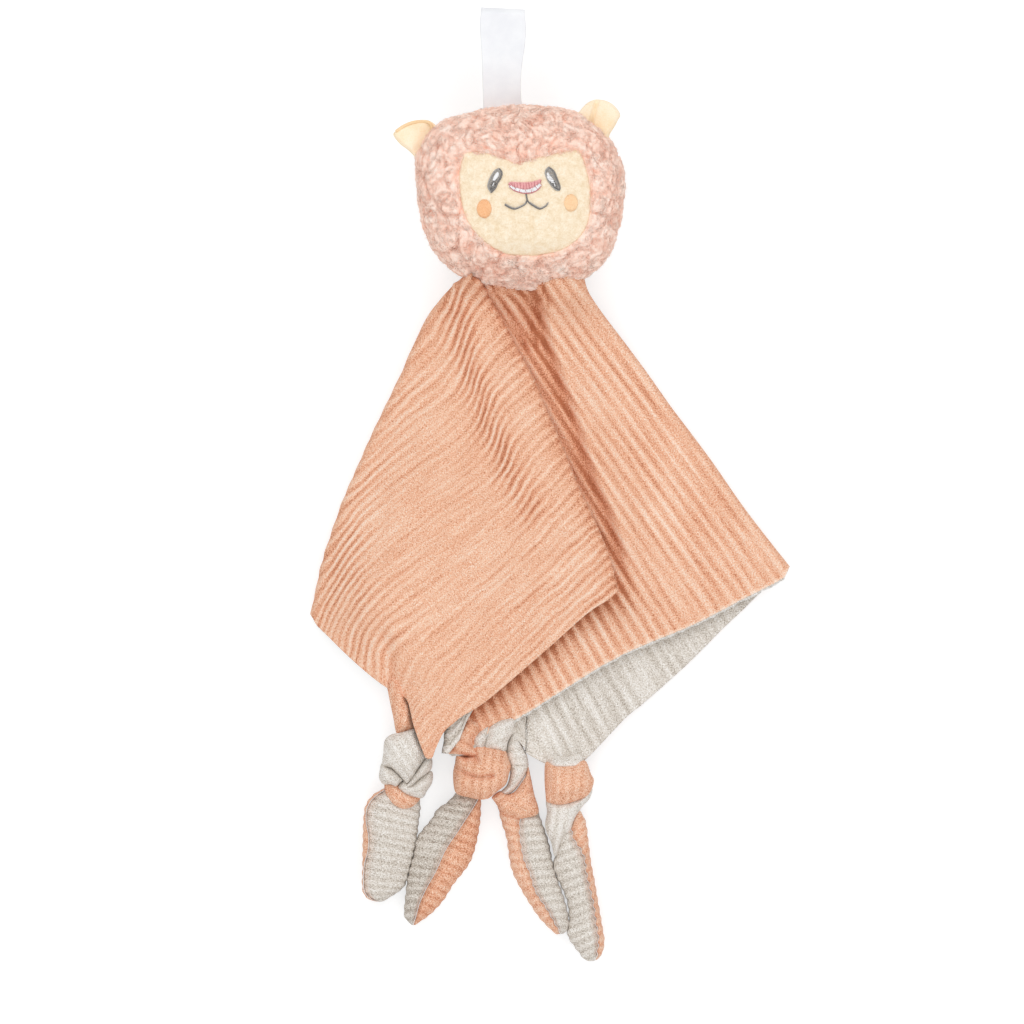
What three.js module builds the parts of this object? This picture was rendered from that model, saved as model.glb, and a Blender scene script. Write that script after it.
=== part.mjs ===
import * as THREE from 'three';
import { mergeVertices } from 'three/addons/utils/BufferGeometryUtils.js';

// The toy lies on its back. Plan tables hold x to the right and y towards the head.
// They are shares of planLength, measured from the middle of the toy.
const planLength = 420;

// Cloth of the folded blanket
const clothThickness = 1.2;
const clothGap = 0.35;
const layerGap = 0.5;
const sinkMargin = 11;
const sinkSlope = 0.62;
const rightSinkStart = 0;
const rightSinkWidth = 48;
const rippleHeight = 1.4;
const rippleCount = 9;
const frontSwell = 2.2;
const frontSwellWidth = 12;
const leftSwell = 1.4;
const leftSwellWidth = 10;
const rightSwell = 1.6;
const rightSwellWidth = 11;
const ridgeSwell = 3;
const ridgeWidth = 8.5;
const blanketRowShares = [0, 0.07, 0.16, 0.27, 0.4, 0.54, 0.69, 0.85, 1];
const bendSteps = 4;

// Head
const headThickness = 46;
const coverThickness = 2.4;
const seamGap = 0.35;
const headRoundness = 2.5;
const chinDropShare = 0.4;
const chinReach = 22;
const headRows = 14;
const headColumns = 14;
const restCut = 0.5;

// Face pieces
const patchThickness = 1.2;
const stitchThickness = 0.8;
const mouthWidth = 1.1;
const cheekWidth = 6.4;
const cheekHeight = 8;
const leftCheekShares = [-0.0655, 0.275];
const rightCheekShares = [0.021, 0.281];

// Ears and ribbon
const earThickness = 2.2;
const earLift = 24;
const earCup = 3;
const ribbonWidth = 19;
const ribbonThickness = 0.8;
const ribbonLoopHeight = 41.8;
const ribbonLoopDepth = 11;
const ribbonRootGap = 0.45;
const ribbonRootShares = [-0.047, 0.3785];
const ribbonSteps = 26;

// Neck stitching
const neckWidth = 46;
const neckDepth = 17;
const neckThreadThickness = 2;
const neckThreadHeight = 3.7;
const neckShares = [-0.0265, 0.1903];

// Knots and tails
const knotSize = 20;
const tailThickness = 10;
const tailRoundness = 0.8;
const strandRoundness = 0.9;
const wrapSides = 8;
const wrapSteps = 18;

const headOutlineShares = [
  [-0.025, 0.195], [-0.055, 0.199], [-0.088, 0.208], [-0.107, 0.225], [-0.122, 0.247],
  [-0.13, 0.281], [-0.134, 0.312], [-0.132, 0.334], [-0.113, 0.36], [-0.08, 0.372], [-0.04, 0.379],
  [-0.002, 0.378], [0.029, 0.37], [0.056, 0.348], [0.069, 0.327], [0.074, 0.306], [0.073, 0.281],
  [0.067, 0.254], [0.058, 0.23], [0.044, 0.211], [0.025, 0.2], [-0.002, 0.195],
];
const patchOutlineShares = [
  [-0.085, 0.331], [-0.067, 0.3315], [-0.048, 0.327], [-0.034, 0.3215], [-0.021, 0.324],
  [-0.002, 0.329], [0.027, 0.334], [0.033, 0.323], [0.0385, 0.306], [0.041, 0.289],
  [0.0385, 0.264], [0.029, 0.247], [0.01, 0.234], [-0.017, 0.2285], [-0.036, 0.2285],
  [-0.053, 0.234], [-0.069, 0.245], [-0.082, 0.262], [-0.089, 0.283], [-0.091, 0.306],
  [-0.089, 0.321],
];
const leftEyeShares = [
  [-0.051, 0.316], [-0.048, 0.311], [-0.048, 0.303], [-0.052, 0.296], [-0.059, 0.29],
  [-0.06, 0.297], [-0.059, 0.306], [-0.055, 0.313],
];
const rightEyeShares = [
  [-0.0015, 0.317], [0.004, 0.314], [0.0085, 0.308], [0.0105, 0.3], [0.0095, 0.293],
  [0.004, 0.297], [0, 0.304], [-0.002, 0.311],
];
const noseShares = [
  [-0.042, 0.3], [-0.034, 0.3025], [-0.026, 0.3037], [-0.017, 0.3042], [-0.009, 0.304],
  [-0.011, 0.298], [-0.016, 0.293], [-0.0235, 0.29], [-0.032, 0.2915], [-0.039, 0.295],
];
const mouthStemShares = [
  [-0.024, 0.284], [-0.0245, 0.2885],
];
const mouthLeftShares = [
  [-0.024, 0.283], [-0.029, 0.278], [-0.036, 0.2755], [-0.042, 0.2765], [-0.0455, 0.2795],
];
const mouthRightShares = [
  [-0.023, 0.283], [-0.018, 0.2785], [-0.01, 0.2762], [-0.005, 0.2775], [-0.0015, 0.281],
];
const leftEarShares = [
  [-0.158, 0.35], [-0.154, 0.355], [-0.147, 0.358], [-0.133, 0.363], [-0.124, 0.3635],
  [-0.1193, 0.361], [-0.1378, 0.3345], [-0.149, 0.338],
];
const rightEarShares = [
  [0.033, 0.375], [0.04, 0.382], [0.048, 0.385], [0.057, 0.383], [0.066, 0.377], [0.071, 0.369],
  [0.069, 0.358], [0.063, 0.351],
];

// Folds of the blanket from neck to hem
const leftFoldShares = [
  [-0.105, 0.185], [-0.119, 0.169], [-0.136, 0.142], [-0.148, 0.114], [-0.162, 0.083],
  [-0.179, 0.05], [-0.191, 0.022], [-0.205, -0.011], [-0.213, -0.037], [-0.228, -0.076],
  [-0.239, -0.125],
];
const frontFoldShares = [
  [-0.057, 0.185], [-0.044, 0.163], [-0.03, 0.136], [-0.015, 0.108], [-0.001, 0.073],
  [0.013, 0.036], [0.025, 0.003], [0.036, -0.023], [0.05, -0.052], [0.062, -0.076], [0.07, -0.106],
];
const tuckFoldShares = [
  [-0.079, 0.185], [-0.08, -0.016], [-0.082, -0.238],
];
const rightFoldShares = [
  [0.042, 0.185], [0.052, 0.173], [0.077, 0.142], [0.096, 0.113], [0.12, 0.079], [0.14, 0.052],
  [0.164, 0.023], [0.188, -0.016], [0.212, -0.047], [0.239, -0.079],
];
const backFoldShares = [
  [-0.066, 0.185], [-0.098, 0.064], [-0.162, -0.12],
];
const underFoldShares = [
  [-0.03, 0.185], [-0.026, -0.056], [-0.025, -0.264],
];

// Raised ridge on the right-hand layer
const ridgeShares = [
  [-0.01, 0.199], [-0.009, 0.167], [0.006, 0.112], [0.032, 0.04], [0.056, -0.016], [0.078, -0.068],
];

// Hems of the six layers, in the order the cloth runs
const frontHemShares = [
  [-0.239, -0.125], [-0.234, -0.139], [-0.2, -0.171], [-0.166, -0.2], [-0.146, -0.214],
  [-0.137, -0.238], [-0.124, -0.261], [-0.085, -0.232], [-0.062, -0.215], [-0.033, -0.191],
  [-0.012, -0.173], [0.019, -0.147], [0.042, -0.127], [0.07, -0.106],
];
const tuckHemShares = [
  [0.07, -0.106], [0.005, -0.168], [-0.082, -0.238],
];
const rightHemShares = [
  [-0.082, -0.238], [-0.045, -0.228], [0.01, -0.199], [0.05, -0.179], [0.09, -0.161],
  [0.14, -0.141], [0.19, -0.116], [0.239, -0.079],
];
const greyHemShares = [
  [0.239, -0.079], [0.2, -0.119], [0.178, -0.139], [0.142, -0.174], [0.096, -0.214],
  [0.058, -0.249], [0.033, -0.271], [0.013, -0.279], [-0.004, -0.275], [-0.038, -0.238],
  [-0.162, -0.12],
];
const hiddenHemShares = [
  [-0.162, -0.12], [-0.095, -0.196], [-0.025, -0.264],
];
const underHemShares = [
  [-0.025, -0.264], [-0.135, -0.188], [-0.239, -0.125],
];

// Edges and seams of the four tails, from knot to tip
const tailOneLeftShares = [
  [-0.162, -0.3135], [-0.179, -0.322], [-0.185, -0.341], [-0.187, -0.377], [-0.186, -0.405],
  [-0.178, -0.416], [-0.169, -0.4185],
];
const tailOneSeamShares = [
  [-0.161, -0.3135], [-0.172, -0.324], [-0.179, -0.343], [-0.182, -0.377], [-0.1815, -0.401],
  [-0.176, -0.412], [-0.168, -0.418],
];
const tailOneRightShares = [
  [-0.134, -0.314], [-0.13, -0.328], [-0.134, -0.357], [-0.14, -0.377], [-0.144, -0.395],
  [-0.153, -0.408], [-0.166, -0.418],
];
const tailTwoLeftShares = [
  [-0.089, -0.3065], [-0.106, -0.322], [-0.122, -0.343], [-0.133, -0.361], [-0.139, -0.387],
  [-0.144, -0.406], [-0.1445, -0.428], [-0.138, -0.44],
];
const tailTwoSeamShares = [
  [-0.079, -0.3058], [-0.086, -0.331], [-0.098, -0.356], [-0.108, -0.374], [-0.116, -0.393],
  [-0.124, -0.413], [-0.131, -0.43], [-0.136, -0.441],
];
const tailTwoRightShares = [
  [-0.067, -0.3053], [-0.069, -0.329], [-0.075, -0.352], [-0.082, -0.373], [-0.093, -0.393],
  [-0.105, -0.411], [-0.116, -0.426], [-0.134, -0.441],
];
const tailThreeLeftShares = [
  [-0.042, -0.3305], [-0.043, -0.352], [-0.04, -0.372], [-0.032, -0.401], [-0.023, -0.42],
  [-0.01, -0.436], [0.001, -0.446],
];
const tailThreeSeamShares = [
  [-0.03, -0.3285], [-0.029, -0.352], [-0.026, -0.372], [-0.019, -0.396], [-0.012, -0.415],
  [-0.003, -0.432], [0.005, -0.445],
];
const tailThreeRightShares = [
  [-0.015, -0.3265], [-0.009, -0.35], [-0.004, -0.368], [0.001, -0.39], [0.007, -0.409],
  [0.011, -0.426], [0.012, -0.442],
];
const tailFourLeftShares = [
  [0.008, -0.3326], [0.006, -0.358], [0.008, -0.379], [0.014, -0.403], [0.02, -0.427],
  [0.023, -0.451], [0.035, -0.473],
];
const tailFourSeamShares = [
  [0.02, -0.3326], [0.025, -0.354], [0.033, -0.375], [0.039, -0.395], [0.044, -0.424],
  [0.047, -0.452], [0.042, -0.475],
];
const tailFourRightShares = [
  [0.03, -0.3326], [0.034, -0.354], [0.037, -0.371], [0.044, -0.393], [0.05, -0.421],
  [0.054, -0.451], [0.047, -0.474],
];

const paint = (color, roughness) => new THREE.MeshStandardMaterial({ color, roughness, metalness: 0 });
const coralKnit = paint('#efbea0', 0.95);
const greyKnit = paint('#d1c7bd', 0.95);
const fleece = paint('#eec2ac', 0.97);
const creamVelour = paint('#f9ead5', 0.9);
const earVelour = paint('#fde9cd', 0.9);
const whiteTape = paint('#f4f5f7', 0.7);
const fill = paint('#f2efe9', 0.98);
const darkThread = paint('#5b5754', 0.6);
const pinkThread = paint('#f0a9a4', 0.5);
const deepCheek = paint('#f5af73', 0.85);
const paleCheek = paint('#facd96', 0.85);

const group = new THREE.Group();

const plan = ([x, y]) => new THREE.Vector2(x * planLength, y * planLength);
const path = (shares) => shares.map(plan);
const mix = (a, b, t) => a + (b - a) * t;
const signedPower = (value, power) => Math.sign(value) * Math.abs(value) ** power;

// Point at a share of a path's length
function along(points, share) {
  const lengths = points.slice(1).map((point, i) => point.distanceTo(points[i]));
  const total = lengths.reduce((sum, length) => sum + length, 0);
  let left = share * total;
  for (let i = 0; i < lengths.length; i += 1) {
    if (left <= lengths[i] || i === lengths.length - 1) {
      return points[i].clone().lerp(points[i + 1], Math.min(1, left / lengths[i]));
    }
    left -= lengths[i];
  }
  return points[0].clone();
}

// Unit direction of a path at a share of its length
function heading(points, share) {
  const step = 0.03;
  const before = along(points, Math.max(0, share - step));
  return along(points, Math.min(1, share + step)).sub(before).normalize();
}

function inside(points, point) {
  let odd = false;
  for (let i = 0, j = points.length - 1; i < points.length; j = i, i += 1) {
    const a = points[i];
    const b = points[j];
    if (a.y > point.y !== b.y > point.y) {
      const x = mix(a.x, b.x, (point.y - a.y) / (b.y - a.y));
      if (point.x < x) odd = !odd;
    }
  }
  return odd;
}

function edgeDistance(points, point) {
  let least = Infinity;
  for (let i = 0, j = points.length - 1; i < points.length; j = i, i += 1) {
    const edge = points[j].clone().sub(points[i]);
    const offset = point.clone().sub(points[i]);
    const share = Math.max(0, Math.min(1, offset.dot(edge) / edge.lengthSq()));
    least = Math.min(least, offset.sub(edge.multiplyScalar(share)).length());
  }
  return least;
}

// Closed body from positions and faces, turned so that it faces out
function body(points, faces) {
  const volume = faces.reduce((sum, [a, b, c]) => {
    const cross = points[b].clone().cross(points[c]);
    return sum + points[a].dot(cross);
  }, 0);
  const order = volume < 0 ? faces.map(([a, b, c]) => [a, c, b]) : faces;
  const geometry = new THREE.BufferGeometry();
  geometry.setAttribute('position', new THREE.Float32BufferAttribute(points.flatMap((p) => [p.x, p.y, p.z]), 3));
  geometry.setIndex(order.flat());
  return geometry;
}

function quad(faces, a, b, c, d) {
  faces.push([a, b, c], [a, c, d]);
}

// Closed body between two grids that are closed across or open
function slab(outer, inner, closedAcross) {
  const rows = outer.length;
  const columns = outer[0].length;
  const points = [...outer.flat(), ...inner.flat()];
  const faces = [];
  const high = (i, j) => i * columns + (j % columns);
  const low = (i, j) => rows * columns + high(i, j);
  const spans = closedAcross ? columns : columns - 1;
  for (let j = 0; j < spans; j += 1) {
    for (let i = 0; i < rows - 1; i += 1) {
      quad(faces, high(i, j), high(i, j + 1), high(i + 1, j + 1), high(i + 1, j));
      quad(faces, low(i, j), low(i + 1, j), low(i + 1, j + 1), low(i, j + 1));
    }
    quad(faces, high(0, j), low(0, j), low(0, j + 1), high(0, j + 1));
    quad(faces, high(rows - 1, j), high(rows - 1, j + 1), low(rows - 1, j + 1), low(rows - 1, j));
  }
  if (!closedAcross) {
    for (let i = 0; i < rows - 1; i += 1) {
      quad(faces, high(i, 0), high(i + 1, 0), low(i + 1, 0), low(i, 0));
      quad(faces, high(i, spans), low(i, spans), low(i + 1, spans), high(i + 1, spans));
    }
  }
  return body(points, faces);
}

// Closed body through rings, with a point closing each end
function rings(list) {
  const sides = list[0].length;
  const centre = (ring) => ring.reduce((sum, p) => sum.add(p), new THREE.Vector3()).divideScalar(sides);
  const points = [...list.flat(), centre(list[0]), centre(list.at(-1))];
  const faces = [];
  const first = points.length - 2;
  const last = points.length - 1;
  const final = (list.length - 1) * sides;
  for (let j = 0; j < sides; j += 1) {
    const k = (j + 1) % sides;
    for (let i = 0; i < list.length - 1; i += 1) {
      quad(faces, i * sides + j, i * sides + k, (i + 1) * sides + k, (i + 1) * sides + j);
    }
    faces.push([first, k, j], [last, final + j, final + k]);
  }
  return body(points, faces);
}

// Torus-like body through a closed list of rings
function band(list) {
  const sides = list[0].length;
  const count = list.length;
  const faces = [];
  for (let i = 0; i < count; i += 1) {
    for (let j = 0; j < sides; j += 1) {
      const next = (i + 1) % count;
      const k = (j + 1) % sides;
      quad(faces, i * sides + j, i * sides + k, next * sides + k, next * sides + j);
    }
  }
  return body(list.flat(), faces);
}

// Thin piece lying on a surface, from its outline
function plate(outline, ringShares, surface, thickness, edgeShare) {
  const centre = outline.reduce((sum, p) => sum.add(p), new THREE.Vector2()).divideScalar(outline.length);
  const face = (lift) => ringShares.map((share) => outline.map((point) => {
    const p = point.clone().sub(centre).multiplyScalar(share).add(centre);
    return new THREE.Vector3(p.x, p.y, surface(p.x, p.y) + lift(share));
  }));
  const top = face((share) => thickness * mix(edgeShare, 1, Math.sqrt(1 - share * share)));
  const under = face(() => 0);
  return rings([...top.reverse(), ...under]);
}

function add(name, geometry, material) {
  const mesh = new THREE.Mesh(geometry, material);
  mesh.name = name;
  group.add(mesh);
}

// Closed outline through the given points, with softened corners
function smoothOutline(shares, count) {
  const corners = path(shares).map((p) => new THREE.Vector3(p.x, p.y, 0));
  const curve = new THREE.CatmullRomCurve3(corners, true, 'centripetal');
  return curve.getPoints(count).slice(0, count).map((p) => new THREE.Vector2(p.x, p.y));
}

// The blanket's folds. Cloth runs round the neck through six layers and back.
const ends = (points) => path(points);
const folds = [
  { line: ends(leftFoldShares), side: -1, coralOut: 1, upper: 0, lower: 5, rising: true },
  { line: ends(frontFoldShares), side: 1, coralOut: 1, upper: 0, lower: 1 },
  { line: ends(tuckFoldShares), side: -1, coralOut: -1, upper: 1, lower: 2 },
  { line: ends(rightFoldShares), side: 1, coralOut: 1, upper: 2, lower: 3 },
  { line: ends(backFoldShares), side: -1, coralOut: -1, upper: 3, lower: 4 },
  { line: ends(underFoldShares), side: 1, coralOut: 1, upper: 4, lower: 5 },
];
const hems = [frontHemShares, tuckHemShares, rightHemShares, greyHemShares, hiddenHemShares, underHemShares]
  .map(path);
const ridge = path(ridgeShares);
const layerColumns = [12, 3, 12, 9, 4, 6];
const clothPair = 2 * clothThickness + clothGap;
const layerPitch = clothPair + layerGap;

// Plan of each layer, run on past the neck so that the stack stays level there
const layerPlans = hems.map((hem, i) => {
  const left = folds[i].line;
  const right = folds[(i + 1) % folds.length].line;
  const above = (point) => new THREE.Vector2(point.x, point.y + planLength);
  return [above(left[0]), ...left, ...hem.slice(1, -1), ...[...right].reverse(), above(right[0])];
});

// Distance outside every one of some layers, or zero on any of them
function outsideOf(layers, point) {
  if (layers.some((layer) => inside(layerPlans[layer], point))) return 0;
  return Math.min(...layers.map((layer) => edgeDistance(layerPlans[layer], point)));
}

// Soft rise beside a line
function swellBeside(line, height, width, point) {
  return height * Math.exp(-((edgeDistance(line, point) / width) ** 2));
}

// The front layer sinks past the inner ones, and the right side sinks past the hidden ones
function layerHeight(layer, point) {
  const flat = clothPair / 2 + layerPitch * (hems.length - 1 - layer);
  if (layer === 0) {
    const drop = sinkSlope * Math.max(0, outsideOf([1, 2, 3, 4], point) - sinkMargin);
    const puff = swellBeside(folds[1].line, frontSwell, frontSwellWidth, point)
      + swellBeside(folds[0].line, leftSwell, leftSwellWidth, point);
    return flat - Math.min(drop, layerPitch * 4) + puff;
  }
  if (layer === 2 || layer === 3) {
    const drop = (point.x - rightSinkStart) / rightSinkWidth * layerPitch * 2;
    const level = flat - Math.max(0, Math.min(drop, layerPitch * 2));
    if (layer === 3) return level;
    return level + swellBeside(ridge, ridgeSwell, ridgeWidth, point)
      + swellBeside(folds[3].line, rightSwell, rightSwellWidth, point);
  }
  return flat;
}

// Ripples run out from the neck. They grow with height, so the layers never meet.
const neckPoint = plan(neckShares);
const stackHeight = layerPitch * hems.length;
function ripple(point, z) {
  const offset = point.clone().sub(neckPoint);
  const angle = Math.atan2(offset.x, -offset.y);
  const reach = Math.min(1, offset.length() / planLength * 2.5);
  const wave = Math.sin(angle * rippleCount + offset.length() / planLength * 9);
  return z + rippleHeight * wave * reach * (1 - reach * 0.5) * (z / stackHeight);
}

function foldPoint(fold, share, turn, offset) {
  const edge = along(fold.line, share);
  const direction = heading(fold.line, share);
  const outward = new THREE.Vector2(-direction.y, direction.x);
  if (outward.x * fold.side < 0) outward.negate();
  const reach = layerPitch / 2 + clothPair / 2;
  const centre = edge.sub(outward.clone().multiplyScalar(reach));
  const upper = layerHeight(fold.upper, centre);
  const lower = layerHeight(fold.lower, centre);
  const radius = (upper - lower) / 2 + fold.coralOut * offset;
  const spread = layerPitch / 2 + fold.coralOut * offset;
  const p = centre.clone().add(outward.multiplyScalar(spread * Math.cos(turn)));
  return new THREE.Vector3(p.x, p.y, ripple(centre, (upper + lower) / 2 + radius * Math.sin(turn)));
}

function blanketFace(offset) {
  return blanketRowShares.map((share) => {
    const row = [];
    folds.forEach((fold, i) => {
      for (let step = 0; step <= bendSteps; step += 1) {
        const turn = (0.5 - step / bendSteps) * Math.PI;
        row.push(foldPoint(fold, share, fold.rising ? -turn : turn, offset));
      }
      const next = folds[(i + 1) % folds.length];
      const start = row.at(-1);
      const finish = foldPoint(next, share, next.rising ? -Math.PI / 2 : Math.PI / 2, offset);
      const lift = i % 2 === 0 ? offset : -offset;
      for (let column = 1; column <= layerColumns[i]; column += 1) {
        const t = column / (layerColumns[i] + 1);
        const straight = fold.line.at(-1).clone().lerp(next.line.at(-1), t);
        const bow = along(hems[i], t).sub(straight).multiplyScalar(share * share);
        const p = new THREE.Vector2(mix(start.x, finish.x, t), mix(start.y, finish.y, t)).add(bow);
        row.push(new THREE.Vector3(p.x, p.y, ripple(p, layerHeight(i, p) + lift)));
      }
    });
    return row;
  });
}

const nearFace = clothGap / 2;
const farFace = clothGap / 2 + clothThickness;
add('blanket_coral_face', slab(blanketFace(farFace), blanketFace(nearFace), true), coralKnit);
add('blanket_grey_lining', slab(blanketFace(-nearFace), blanketFace(-farFace), true), greyKnit);

// Head, as two panels round the filling
const headOutline = smoothOutline(headOutlineShares, 88);
const headLow = Math.min(...headOutline.map((p) => p.y));
const headHigh = Math.max(...headOutline.map((p) => p.y));
const headMiddleY = (headLow + headHigh) / 2;
const headHalfHeight = (headHigh - headLow) / 2;
const headMiddleZ = headThickness / 2 - restCut;

// Left and right edge of the head at a height up the plan
function headSpan(y) {
  const level = Math.max(headLow, Math.min(headHigh, y));
  let least = Infinity;
  let most = -Infinity;
  headOutline.forEach((a, i) => {
    const b = headOutline[(i + 1) % headOutline.length];
    if ((a.y - level) * (b.y - level) > 0 || a.y === b.y) return;
    const x = mix(a.x, b.x, (level - a.y) / (b.y - a.y));
    least = Math.min(least, x);
    most = Math.max(most, x);
  });
  return [least, most];
}

const swell = (share) => Math.max(0, 1 - Math.abs(share) ** headRoundness) ** (1 / headRoundness);

// The head's front grows thinner towards its chin
function chin(y) {
  const reach = Math.max(0, Math.min(1, (y - headLow) / chinReach));
  return 1 - chinDropShare * (1 - reach * reach * (3 - 2 * reach));
}

function headFront(x, y) {
  const [left, right] = headSpan(y);
  const share = (2 * x - left - right) / (right - left);
  const height = swell((y - headMiddleY) / headHalfHeight);
  return headMiddleZ + headThickness / 2 * height * swell(share) * chin(y);
}

function headPanel(side, inset) {
  const list = [];
  for (let row = 0; row <= headRows; row += 1) {
    const tilt = mix(-0.44, 0.44, row / headRows) * Math.PI;
    const level = signedPower(Math.sin(tilt), 2 / headRoundness);
    const y = headMiddleY + (headHalfHeight - inset) * level;
    const [left, right] = headSpan(headMiddleY + headHalfHeight * level);
    const half = (right - left) / 2 - inset;
    const drop = side > 0 ? chin(headMiddleY + headHalfHeight * level) : 1;
    const deep = (headThickness / 2 - inset) * swell(level) * drop;
    const ring = [];
    for (let column = 0; column <= headColumns; column += 1) {
      const turn = column / headColumns * Math.PI;
      const x = (left + right) / 2 + half * signedPower(Math.cos(turn), 2 / headRoundness);
      const rise = seamGap / 2 + deep * signedPower(Math.sin(turn), 2 / headRoundness);
      ring.push(new THREE.Vector3(x, y, Math.max(0, headMiddleZ + side * rise)));
    }
    list.push(ring);
  }
  return list;
}

function headFilling() {
  const inset = coverThickness + seamGap + restCut;
  const front = headPanel(1, inset);
  const back = headPanel(-1, inset);
  const even = (ring) => ring.filter((_, i) => i % 2 === 1);
  return rings(front.map((ring, i) => [...even(ring), ...even(back[i]).reverse()]));
}

add('head_front_panel', slab(headPanel(1, 0), headPanel(1, coverThickness), false), fleece);
add('head_back_panel', slab(headPanel(-1, 0), headPanel(-1, coverThickness), false), fleece);
add('head_filling', headFilling(), fill);

// Face, worked outwards from the patch
const onHead = (x, y) => headFront(x, y) + seamGap * 2;
const onPatch = (x, y) => onHead(x, y) + patchThickness + seamGap;
const patchRings = [1, 0.9, 0.66, 0.36];
const stitchRings = [1, 0.8, 0.4];
add('face_patch', plate(smoothOutline(patchOutlineShares, 28), patchRings, onHead, patchThickness, 1), creamVelour);

function stitched(name, outline, material) {
  add(name, plate(outline, stitchRings, onPatch, stitchThickness, 0.55), material);
}

function cheek(shares) {
  const middle = plan(shares);
  return Array.from({ length: 16 }, (_, i) => {
    const turn = i / 16 * Math.PI * 2;
    return new THREE.Vector2(Math.cos(turn) * cheekWidth / 2, Math.sin(turn) * cheekHeight / 2).add(middle);
  });
}

stitched('left_eye', smoothOutline(leftEyeShares, 16), darkThread);
stitched('right_eye', smoothOutline(rightEyeShares, 16), darkThread);
stitched('nose', smoothOutline(noseShares, 18), pinkThread);
stitched('left_cheek', cheek(leftCheekShares), deepCheek);
stitched('right_cheek', cheek(rightCheekShares), paleCheek);

// Mouth, as one stroke outline with three arms
function mouthOutline() {
  const arms = [mouthStemShares, mouthRightShares, mouthLeftShares].map(path);
  return arms.flatMap((arm) => {
    const sideOf = (i, side) => {
      const back = arm[Math.max(0, i - 1)];
      const on = arm[Math.min(arm.length - 1, i + 1)];
      const direction = on.clone().sub(back).normalize();
      const across = new THREE.Vector2(-direction.y, direction.x).multiplyScalar(side * mouthWidth / 2);
      return arm[i].clone().add(across);
    };
    const out = arm.map((_, i) => i).slice(1);
    return [...out.map((i) => sideOf(i, 1)), ...out.reverse().map((i) => sideOf(i, -1))];
  });
}

function mouthGeometry() {
  const flat = new THREE.ExtrudeGeometry(new THREE.Shape(mouthOutline()), {
    depth: stitchThickness,
    bevelEnabled: false,
  });
  flat.deleteAttribute('normal');
  flat.deleteAttribute('uv');
  const merged = mergeVertices(flat);
  const position = merged.getAttribute('position');
  for (let i = 0; i < position.count; i += 1) {
    position.setZ(i, position.getZ(i) + onPatch(position.getX(i), position.getY(i)));
  }
  return merged;
}

add('mouth', mouthGeometry(), darkThread);

// Ears. Each has a front and a back layer that bow apart from the seam.
function earLayer(outline, side) {
  const middle = outline.reduce((sum, p) => sum.add(p), new THREE.Vector2()).divideScalar(outline.length);
  const spread = Math.max(...outline.map((p) => p.distanceTo(middle)));
  const surface = (x, y) => {
    const share = Math.min(1, Math.hypot(x - middle.x, y - middle.y) / spread);
    return earLift - earCup * (1 - share * share) + side * seamGap / 2;
  };
  const ringsShares = [1, 0.75, 0.4];
  return plate(outline, ringsShares, surface, side * earThickness / 2, 0.5);
}

[['left', leftEarShares], ['right', rightEarShares]].forEach(([side, shares]) => {
  const outline = smoothOutline(shares, 20);
  add(`${side}_ear_front`, earLayer(outline, 1), earVelour);
  add(`${side}_ear_back`, earLayer(outline, -1), earVelour);
});

// Ribbon loop, a tape bent over into a drop shape
function ribbonGeometry() {
  const root = plan(ribbonRootShares);
  const start = root.y + ribbonRootGap;
  const midline = [];
  for (let i = 0; i <= ribbonSteps; i += 1) {
    const turn = i / ribbonSteps * Math.PI * 2;
    const rise = (1 - Math.cos(turn)) / 2;
    const across = Math.sin(turn) * Math.sin(turn / 2) ** 1.4;
    const rootOffset = (ribbonThickness + seamGap) / 2 * Math.cos(turn / 2);
    midline.push(new THREE.Vector2(start + ribbonLoopHeight * rise, across * ribbonLoopDepth / 2 / 0.82 + rootOffset));
  }
  const edge = (offset, x) => midline.map((p, i) => {
    const back = midline[Math.max(0, i - 1)];
    const on = midline[Math.min(midline.length - 1, i + 1)];
    const direction = on.clone().sub(back).normalize();
    return new THREE.Vector3(x, p.x + direction.y * offset, headMiddleZ + p.y - direction.x * offset);
  });
  const half = ribbonThickness / 2;
  const left = root.x - ribbonWidth / 2;
  const right = root.x + ribbonWidth / 2;
  const outer = [edge(-half, left), edge(-half, right)];
  const inner = [edge(half, left), edge(half, right)];
  return slab(outer, inner, false);
}

add('hanging_loop', ribbonGeometry(), whiteTape);

// Ring in the plan's tilted frame, used by wraps and neck stitching
function wrap(centre, z, width, depth, tapeHeight, tapeThickness, tilt) {
  const across = new THREE.Vector3(Math.cos(tilt), Math.sin(tilt), 0);
  const upward = new THREE.Vector3(-Math.sin(tilt), Math.cos(tilt), 0);
  const list = [];
  for (let i = 0; i < wrapSteps; i += 1) {
    const turn = i / wrapSteps * Math.PI * 2;
    const ring = [];
    for (let j = 0; j < wrapSides; j += 1) {
      const roll = j / wrapSides * Math.PI * 2;
      const swellOut = tapeThickness / 2 * signedPower(Math.cos(roll), 0.85);
      const reachX = (width - tapeThickness) / 2 + swellOut;
      const reachZ = (depth - tapeThickness) / 2 + swellOut;
      const p = new THREE.Vector3(centre.x, centre.y, z);
      p.addScaledVector(across, reachX * signedPower(Math.cos(turn), 0.8));
      p.addScaledVector(upward, tapeHeight / 2 * signedPower(Math.sin(roll), 0.85));
      p.z = Math.max(0, p.z + reachZ * signedPower(Math.sin(turn), 0.8));
      ring.push(p);
    }
    list.push(ring);
  }
  return band(list);
}

const neckZ = neckDepth / 2 + neckThreadThickness / 2;
add('neck_stitching', wrap(neckPoint, neckZ, neckWidth, neckDepth, neckThreadHeight, neckThreadThickness, 0),
  fleece);

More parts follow.
